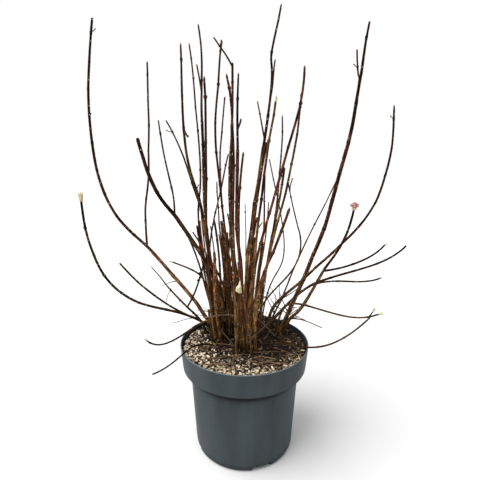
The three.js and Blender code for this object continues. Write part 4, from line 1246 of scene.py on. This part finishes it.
while crossings < CROSSING_COUNT + FALLEN_COUNT:
    middle = FALLEN_ROOM * math.sqrt(draw.uniform()) * np.array(slant(draw.uniform(0, 360)))[[0, 2]]
    turn = draw.uniform(0, np.pi)
    length, thick = draw.uniform(*FALLEN_LENGTH), draw.uniform(*DRY_THICK)
    thirds = np.linspace(-0.5, 0.5, 4)[:, None]
    forth, aside = [math.cos(turn), math.sin(turn)], [-math.sin(turn), math.cos(turn)]
    plan = middle + length * (thirds * forth + thirds ** 2 * draw.uniform(*FALLEN_BEND) * aside)
    middles = np.linspace(plan[0], plan[-1], FALLEN_SAMPLES)[:, None]
    apart = np.linalg.norm(middles - feet, axis=2) - foot_radii - thick
    if apart.min() > FALLEN_CLEARANCE and np.hypot(*plan.T).max() < FALLEN_ROOM:
        height = soil_height(*plan.T) + FALLEN_HEIGHT + FALLEN_WAVES * draw.uniform(*FALLEN_LIFT)
        dry_twigs.append(Limb(curve_through(np.column_stack([plan, height])), (thick, FALLEN_TAPER * thick),
                              None, [], FALLEN_SEED + crossings))
        crossings += 1
shapes = [twig.skin(DRY_SIDES, 0, twig.length, DRY_END) for twig in dry_twigs]
put_piece("dead_twigs", shapes, dry_bark())


# Side buds
# Slim pointed buds in opposite pairs, each wrapped in two dark red-brown scales and pressed to the wood. They
# stand where the twigs' section placed them, with a little of their foot in the wood.
BUD_RINGS = 9
BUD_SIDES = 7
BUD_LIPS = (0.62,)
BUD_LIP_HEIGHT = 0.12
BUD_SLIMNESS = 0.78
BUD_LOWNESS = 0.62
BUD_ROUNDNESS = 0.8
BUD_START = 0.02
BUD_POINT = 0.03
BUD_SUNK = 0.12
LIP_WAVE = 0.13
LIP_REACH = 0.2
LIP_STRENGTH = 0.7
SCALE_GRAIN = (900, 900, 350)
SCALE_SHADES = [(0.3, (0.7, 0.7, 0.7)), (0.7, (1.25, 1.25, 1.25))]


def bud_outline(share):
    """A bud's half width as a share of its widest: a sine that peaks below the middle and ends in a point."""
    return np.sin(np.pi * np.clip(share, 0, 1) ** BUD_LOWNESS) ** BUD_ROUNDNESS


def bud_rings(rings, sides, lips, lip_height):
    """A bud of unit length and unit width, upright, as rings of points. Each pair of scales ends in a lip:
    its edge is higher on two sides than between them, and the width swells just under it."""
    share = np.linspace(BUD_START, 1, rings)[:, None]
    turn = np.arange(sides) * 2 * np.pi / sides
    radius = bud_outline(share) / 2 * np.ones(sides)
    shade = np.zeros_like(radius)
    for count, edge in enumerate(lips):
        line = edge + LIP_WAVE * np.cos(turn + count * np.pi / 2) ** 2
        under = np.clip(1 - (line - share) / LIP_REACH, 0, 1) * (share <= line)
        radius = radius * (1 + lip_height * under)
        shade = np.maximum(shade, under)
    radius[-1] = BUD_POINT
    height = np.broadcast_to(share, radius.shape)
    return np.stack([radius * np.cos(turn), radius * np.sin(turn), height], -1), shade


def copies(unit, rows, rise, shade):
    """The skins of copies of a unit shape, given as (base, direction, outward, length, width) rows. The
    unit's height runs along the direction, and its first axis points outward."""
    bases, directions, outwards, lengths, widths = (np.array(column) for column in zip(*rows))
    ahead = across(outwards, directions)
    beside = np.cross(directions, ahead)
    turned = (unit[None, ..., 0:1] * (ahead * widths[:, None])[:, None, None]
              + unit[None, ..., 1:2] * (beside * widths[:, None])[:, None, None]
              + unit[None, ..., 2:3] * (directions * lengths[:, None])[:, None, None])
    return [skin(copy, rise=rise, shade=shade) for copy in bases[:, None, None] + turned]


def bud_scales(name, low, high, lip, roughness):
    """Bud scales: one colour at the foot and another at the point, with darker or paler lips."""
    made = new_material(name, roughness, 0.3)
    tree = made.node_tree
    grain = noise(tree, SCALE_GRAIN, 3)
    body = add_mix(tree, mark_of(tree, "rise"), low, high)
    body = add_mix(tree, reckoned(tree, "MULTIPLY", mark_of(tree, "shade"), LIP_STRENGTH), body, lip)
    body = add_mix(tree, 1.0, body, add_ramp(tree, grain, SCALE_SHADES), "MULTIPLY")
    return dressed(made, Base_Color=body, Normal=bumped(tree, grain, 0.3, 0.0003))


def bud_shapes(rows, rings, sides, lips, lip_height):
    """The skins of buds given as (base, direction, outward, length, width) rows, each sunk in a little."""
    unit, shade = bud_rings(rings, sides, lips, lip_height)
    sunk = [(row[0] - row[1] * BUD_SUNK * row[3], *row[1:]) for row in rows]
    return copies(unit, sunk, unit[..., 2], shade)


brown_scales = bud_scales("brown_scales", (0.022, 0.011, 0.008), (0.065, 0.028, 0.02), (0.11, 0.06, 0.04),
                          0.6)
slim_buds = [(*row[:4], row[4] * BUD_SLIMNESS) for row in side_buds]
shapes = bud_shapes(slim_buds, BUD_RINGS, BUD_SIDES, BUD_LIPS, BUD_LIP_HEIGHT)
put_piece("side_buds", shapes, brown_scales, smooth_fans=True)


# Tip buds
# The bud on the end of each unbroken limb. Most are small and brown, and a few are fat, and pale green or
# cream where they have begun to open. A row of FAT_BUDS gives how far back a bud starts, its length and its
# width. Three green buds stand together low on one cane.
TIP_RINGS = 22
TIP_SIDES = 14
TIP_LIPS = (0.3, 0.5, 0.68)
TIP_LIP_HEIGHT = 0.1
TIP_LENGTH = 1.1
SPUR_BUD_BACK = 0.3
PALE_TIPS = {
    "cane_left_sweeping": "cream", "cane_middle_big_bud": "green", "cane_left_green_bud": "green",
    "cane_over_rim_back_left": "cream", "cane_right_forward": "cream", "twigs_right_lowest": "green",
    "twigs_right_lowest_1": "cream", "twigs_right_blossom_1": "cream",
}
FAT_BUDS = {"cane_middle_big_bud": (25, 20.5, 16)}
CLUSTER_ON = "cane_right_second"
CLUSTER_AT = 122
CLUSTER_LENGTHS = (11, 9, 8)
CLUSTER_WIDTH = 4.4
CLUSTER_SPREAD = 0.6
rows = {"brown": [], "green": [], "cream": []}
for end, spur, (length, width), colour in tip_buds:
    _, along, normal, _ = spur.spot_at(spur.length)
    rows[colour].append((end - along * SPUR_BUD_BACK, along, normal, length, width))
for name, limb in named_limbs.items():
    if limb.bud and name != "twigs_right_blossom":
        back, length, width = FAT_BUDS.get(name, (limb.bud[0], limb.bud[0] * TIP_LENGTH, limb.bud[1]))
        base, along, normal, _ = limb.spot_at(limb.length - back)
        rows[PALE_TIPS.get(name, "brown")].append((base, along, normal, length, width))
cluster, along, normal, beside = named_limbs[CLUSTER_ON].spot_at(CLUSTER_AT)
for outward, length in zip((-normal, -beside, -normal - beside), CLUSTER_LENGTHS):
    direction = one_long(along + outward * CLUSTER_SPREAD)
    rows["green"].append((cluster, direction, outward, length, CLUSTER_WIDTH))
scales = {
    "brown": brown_scales,
    "green": bud_scales("green_scales", (0.48, 0.46, 0.18), (0.86, 0.82, 0.52), (0.93, 0.9, 0.7), 0.6),
    "cream": bud_scales("cream_scales", (0.46, 0.33, 0.17), (0.78, 0.68, 0.45), (0.88, 0.82, 0.62), 0.65),
}
for colour, table in rows.items():
    shapes = bud_shapes(table, TIP_RINGS, TIP_SIDES, TIP_LIPS, TIP_LIP_HEIGHT)
    put_piece("tip_buds_" + colour, shapes, scales[colour], smooth_fans=True)


# Opening leaves and blossom
# The pale tips have begun to open: a pair of small leaves stands off each bud. One twig on the right carries
# a cluster of short pink flower tubes in a cup of green bracts, and two dried leaves hang in the left side.
LEAF_RINGS = 9
LEAF_SIDES = 8
LEAF_FULLNESS = 0.34
LEAF_LOWNESS = 0.7
LEAF_ROUNDNESS = 0.75
LEAF_STALK = 0.01
LEAF_THICKNESS = 0.05
LEAF_MARGIN = 0.4
LEAF_CUP = 0.9
LEAF_BEND = 0.5
LEAF_BACK = 0.9
LEAF_LENGTH = 0.95
LEAF_ASIDE = 0.25
LEAF_SPREADS = {"green": 0.28, "cream": 0.14}
TUBE_RINGS = 10
TUBE_SIDES = 15
TUBE_WIDTHS = (0.14, 0.36)
TUBE_FLARE = 2.2
TUBE_MOUTH = (0.72, 0.28)
LOBES = 5
LOBE_DEPTH = 0.25
LOBE_RISE = 0.08
FLOWER_COUNT = 13
FIRST_FLOWER = 0.3
FLOWER_DRAW = 5
FLOWER_LENGTH = (7, 11)
FLOWER_FULLNESS = 0.62
FLOWER_SPREAD = 40
FLOWER_STALK = 5
GOLDEN_TURN = 2.39996
BRACT_COUNT = 5
BRACT_LENGTH = (9, 13)
BRACT_LEAN = (0.72, 0.69)
BRACT_BEND = 0.9
DRIED_BEND = 2.2
DRIED_DROOP = (0.6, 1.2)
DRIED_SECOND = 0.8
DRIED_LEAVES = [("twigs_left_low_1", 92, 14), ("twigs_left_low_1", 74, 11), ("twigs_left_low", 30, 8)]


def curled_leaf(bend):
    """A leaf of unit length, as rings of flat ovals along an arc that turns outward by the bend, in radians.
    The half width is a sine of the distance covered, raised to a power and widest below the middle."""
    share = np.linspace(BUD_START, 1, LEAF_RINGS)[:, None]
    turn = np.arange(LEAF_SIDES) * 2 * np.pi / LEAF_SIDES
    half = LEAF_FULLNESS / 2 * np.sin(np.pi * share ** LEAF_LOWNESS) ** LEAF_ROUNDNESS + LEAF_STALK
    edge = half * np.sin(turn)
    thinning = LEAF_MARGIN + (1 - LEAF_MARGIN) * half / half.max()
    face = LEAF_THICKNESS / 2 * np.cos(turn) * thinning + LEAF_CUP * edge ** 2
    outward = (1 - np.cos(bend * share)) / bend + face * np.cos(bend * share)
    upward = np.sin(bend * share) / bend - face * np.sin(bend * share)
    return np.stack([outward, edge, upward], -1)


def flower_tube():
    """A flower of unit length and width. The tube's radius grows by a power of its height, and near the mouth
    it waves in five lobes whose edges are dark."""
    share = np.linspace(0, 1, TUBE_RINGS)[:, None]
    turn = np.arange(TUBE_SIDES) * 2 * np.pi / TUBE_SIDES
    lobes = np.cos(LOBES * turn)
    radius = (TUBE_WIDTHS[0] + TUBE_WIDTHS[1] * share ** TUBE_FLARE) * (1 + LOBE_DEPTH * share ** 3 * lobes)
    height = share + LOBE_RISE * share ** 4 * lobes
    shade = np.clip((share - TUBE_MOUTH[0]) / TUBE_MOUTH[1], 0, 1) * (0.5 + 0.5 * lobes)
    return np.stack([radius * np.cos(turn), radius * np.sin(turn), height], -1), shade


def leaf_shapes(rows, bend):
    """The skins of leaves given as (base, direction, outward, length) rows."""
    unit = curled_leaf(bend)
    rise = np.broadcast_to(np.linspace(0, 1, LEAF_RINGS)[:, None], unit.shape[:2])
    return copies(unit, [(*row, row[3]) for row in rows], rise, 0 * rise)


for colour, spread in LEAF_SPREADS.items():
    leaves = []
    for name, tint in PALE_TIPS.items():
        if tint == colour:
            limb = named_limbs[name]
            own = (LEAF_BACK * limb.bud[0], LEAF_LENGTH * limb.bud[0], limb.bud[1])
            back, length, width = FAT_BUDS.get(name, own)
            base, along, normal, _ = limb.spot_at(limb.length - back)
            for outward in (normal, -normal):
                leaves.append((base + outward * LEAF_ASIDE * width, one_long(along + outward * spread),
                               outward, length))
    put_piece("leaves_" + colour, leaf_shapes(leaves, LEAF_BEND), scales[colour],
              smooth_fans=True)

flower_limb = named_limbs["twigs_right_blossom"]
base, along, normal, beside = flower_limb.spot_at(flower_limb.wood - 1)
draw = np.random.default_rng(FLOWER_DRAW)
flowers, bracts = [], []
for count in range(FLOWER_COUNT):
    lean = math.radians(FLOWER_SPREAD) * math.sqrt((count + FIRST_FLOWER) / FLOWER_COUNT)
    turn = count * GOLDEN_TURN
    outward = normal * math.cos(turn) + beside * math.sin(turn)
    direction = along * math.cos(lean) + outward * math.sin(lean)
    length = draw.uniform(*FLOWER_LENGTH)
    flowers.append((base + direction * FLOWER_STALK, direction, outward, length, FLOWER_FULLNESS * length))
for turn in np.arange(BRACT_COUNT) * 2 * np.pi / BRACT_COUNT:
    outward = normal * math.cos(turn) + beside * math.sin(turn)
    direction = one_long(along * BRACT_LEAN[0] + outward * BRACT_LEAN[1])
    bracts.append((base - along, direction, outward, draw.uniform(*BRACT_LENGTH)))
tube, shade = flower_tube()
pink = bud_scales("pink_petals", (0.62, 0.42, 0.32), (0.68, 0.33, 0.31), (0.2, 0.06, 0.07), 0.6)
put_piece("blossom", copies(tube, flowers, tube[..., 2], shade), pink, smooth_fans=True)
put_piece("blossom_bracts", leaf_shapes(bracts, BRACT_BEND), scales["green"], smooth_fans=True)

withered = []
for name, place, length in DRIED_LEAVES:
    base, along, normal, beside = named_limbs[name].spot_at(place)
    withered.append((base, one_long(beside - DRIED_DROOP[0] * along), -normal, length))
    withered.append((base, one_long(-beside - DRIED_DROOP[1] * along), normal, DRIED_SECOND * length))
dried = bud_scales("dried_leaf", (0.03, 0.012, 0.014), (0.06, 0.025, 0.025), (0.1, 0.05, 0.04), 0.7)
put_piece("dried_leaves", leaf_shapes(withered, DRIED_BEND), dried, smooth_fans=True)


# Bark chips
# A loose mulch of bark and wood splinters over the compost: dark bark, red-brown bark, tan wood, and cream
# wood where a splinter is fresh. It lies thickest and palest along the left and front of the rim.
CHIP_COUNT = 6400
CHIP_DRAW = 2024
CHIP_LENGTH = (3.5, 12)
CHIP_LENGTH_PLAY = (0.5, 1.1)
CHIP_WIDTH = (0.2, 0.45)
CHIP_DEPTH = (0.2, 0.55)
DEEPEST_CHIP = 1.5
CHIP_TILT = 0.2
CHIP_ROLL = 0.3
CHIP_PLAY = (0.75, 1.25)
CHIP_RISE = (0.25, 0.3)
CHIP_FROM_EDGE = 2.5
CHIP_CROWDING = (0.55, 0.6)
CHIP_LEANING = 0.001
STRING_SHARE = (0.12, 0.0035)
STRING_LENGTH = 2.4
STRING_WIDTH = (0.8, 1.4)
CHIP_KINDS = {
    "dark": (0.014, 0.009, 0.007), "russet": (0.05, 0.026, 0.015), "tan": (0.27, 0.19, 0.11),
    "cream": (0.74, 0.65, 0.49),
}
KIND_SHARES = (0.46, 0.66, 0.83)
PALE_AT_RIM = 0.5
PALE_TO_LEFT = 0.0022
PALE_PLAY = 1.35
SPLINTER_GRAIN = (420, 420, 420)
SPLINTER_SHADES = [(0.3, (0.55, 0.52, 0.5)), (0.7, (1.35, 1.33, 1.3))]
FOOT_CLEARANCE = 1.5


def chip_unit():
    """A splinter of unit length, as four rings of four corners that draw in towards both ends."""
    corners = np.array([(-1, -1), (1, -1), (1, 1), (-1, 1)]) / 2
    rings = [np.column_stack([corners * width, np.full(4, place)])
             for place, width in ((-0.5, 0.3), (-0.3, 0.9), (0.25, 1.0), (0.5, 0.35))]
    return np.array(rings)


def scattered_chips():
    """Places for the chips by a seeded draw: thickest at the rim, the left and the front, none on a foot."""
    draw = np.random.default_rng(CHIP_DRAW)
    radius = (SOIL_EDGE_RADIUS - CHIP_FROM_EDGE) * np.sqrt(draw.uniform(0, 1, CHIP_COUNT))
    turn = draw.uniform(0, 2 * np.pi, CHIP_COUNT)
    x, y = radius * np.cos(turn), radius * np.sin(turn)
    share = (CHIP_CROWDING[0] + CHIP_CROWDING[1] * (radius / SOIL_EDGE_RADIUS) ** 2
             - CHIP_LEANING * x - CHIP_LEANING * y)
    clear = draw.uniform(0, 1, CHIP_COUNT) < share
    for cane in canes.values():
        foot = cane.hold_points[0]
        clear &= np.hypot(x - foot[0], y - foot[1]) > cane.radius_at(0) + FOOT_CLEARANCE
    return draw, x[clear], y[clear]


draw, chip_x, chip_y = scattered_chips()
count = len(chip_x)
lengths = draw.uniform(*CHIP_LENGTH, count) * draw.uniform(*CHIP_LENGTH_PLAY, count)
widths = lengths * draw.uniform(*CHIP_WIDTH, count)
stringy = draw.uniform(0, 1, count) < STRING_SHARE[0] + STRING_SHARE[1] * chip_x
lengths[stringy] *= STRING_LENGTH
widths[stringy] = draw.uniform(*STRING_WIDTH, stringy.sum())
depths = np.minimum(widths * draw.uniform(*CHIP_DEPTH, count), DEEPEST_CHIP)
headings = draw.uniform(0, 2 * np.pi, count)
tilts = draw.normal(0, CHIP_TILT, count)
ahead = np.stack([np.cos(headings) * np.cos(tilts), np.sin(headings) * np.cos(tilts), np.sin(tilts)], -1)
plan = np.stack([chip_x, chip_y], -1)
reach = np.max([np.linalg.norm(plan + way * ahead[:, :2] * lengths[:, None], axis=1)
                for way in (-0.5, 0.5)], 0)
plan -= (plan / np.linalg.norm(plan, axis=1, keepdims=True)
         * np.maximum(reach + widths / 2 - SOIL_EDGE_RADIUS + 1, 0)[:, None])
chip_x, chip_y = plan.T
rolls = draw.normal(0, CHIP_ROLL, count)
level_side = np.stack([-np.sin(headings), np.cos(headings), np.zeros(count)], -1)
upward = np.cross(ahead, level_side)
side = level_side * np.cos(rolls)[:, None] + upward * np.sin(rolls)[:, None]
upward = np.cross(ahead, side)
height = (soil_height(chip_x, chip_y) + depths * CHIP_RISE[0]
          + np.abs(np.sin(tilts)) * lengths * CHIP_RISE[1])
unit = chip_unit()
jitter = draw.uniform(*CHIP_PLAY, (count, *unit.shape[:2], 1))
middles = np.stack([chip_x, chip_y, height], -1)
chips = middles[:, None, None] + (
    unit[None, ..., 0:1] * jitter * (side * widths[:, None])[:, None, None]
    + unit[None, ..., 1:2] * jitter * (upward * depths[:, None])[:, None, None]
    + unit[None, ..., 2:3] * (ahead * lengths[:, None])[:, None, None])
edge_nearness = np.hypot(chip_x, chip_y) / SOIL_EDGE_RADIUS
paleness = (PALE_AT_RIM * edge_nearness ** 3 - PALE_TO_LEFT * chip_x - PALE_TO_LEFT * chip_y
            + draw.uniform(0, PALE_PLAY, count))
kinds = np.digitize(paleness, np.quantile(paleness, KIND_SHARES))


def splintered_wood(name, colour):
    """Weathered wood in one plain colour, streaked a little lighter and darker."""
    made = new_material(name, 0.85, 0.2)
    tree = made.node_tree
    fibres = noise(tree, SPLINTER_GRAIN, 4)
    wood = add_mix(tree, 1.0, colour, add_ramp(tree, fibres, SPLINTER_SHADES), "MULTIPLY")
    return dressed(made, Base_Color=wood, Normal=bumped(tree, fibres, 0.5, 0.0005))


for index, (kind, colour) in enumerate(CHIP_KINDS.items()):
    shapes = [skin(rings) for rings in chips[kinds == index]]
    piece = put_piece("chips_" + kind, shapes, splintered_wood(kind + "_wood", colour))
    piece.data.polygons.foreach_set("use_smooth", np.zeros(len(piece.data.polygons), bool))
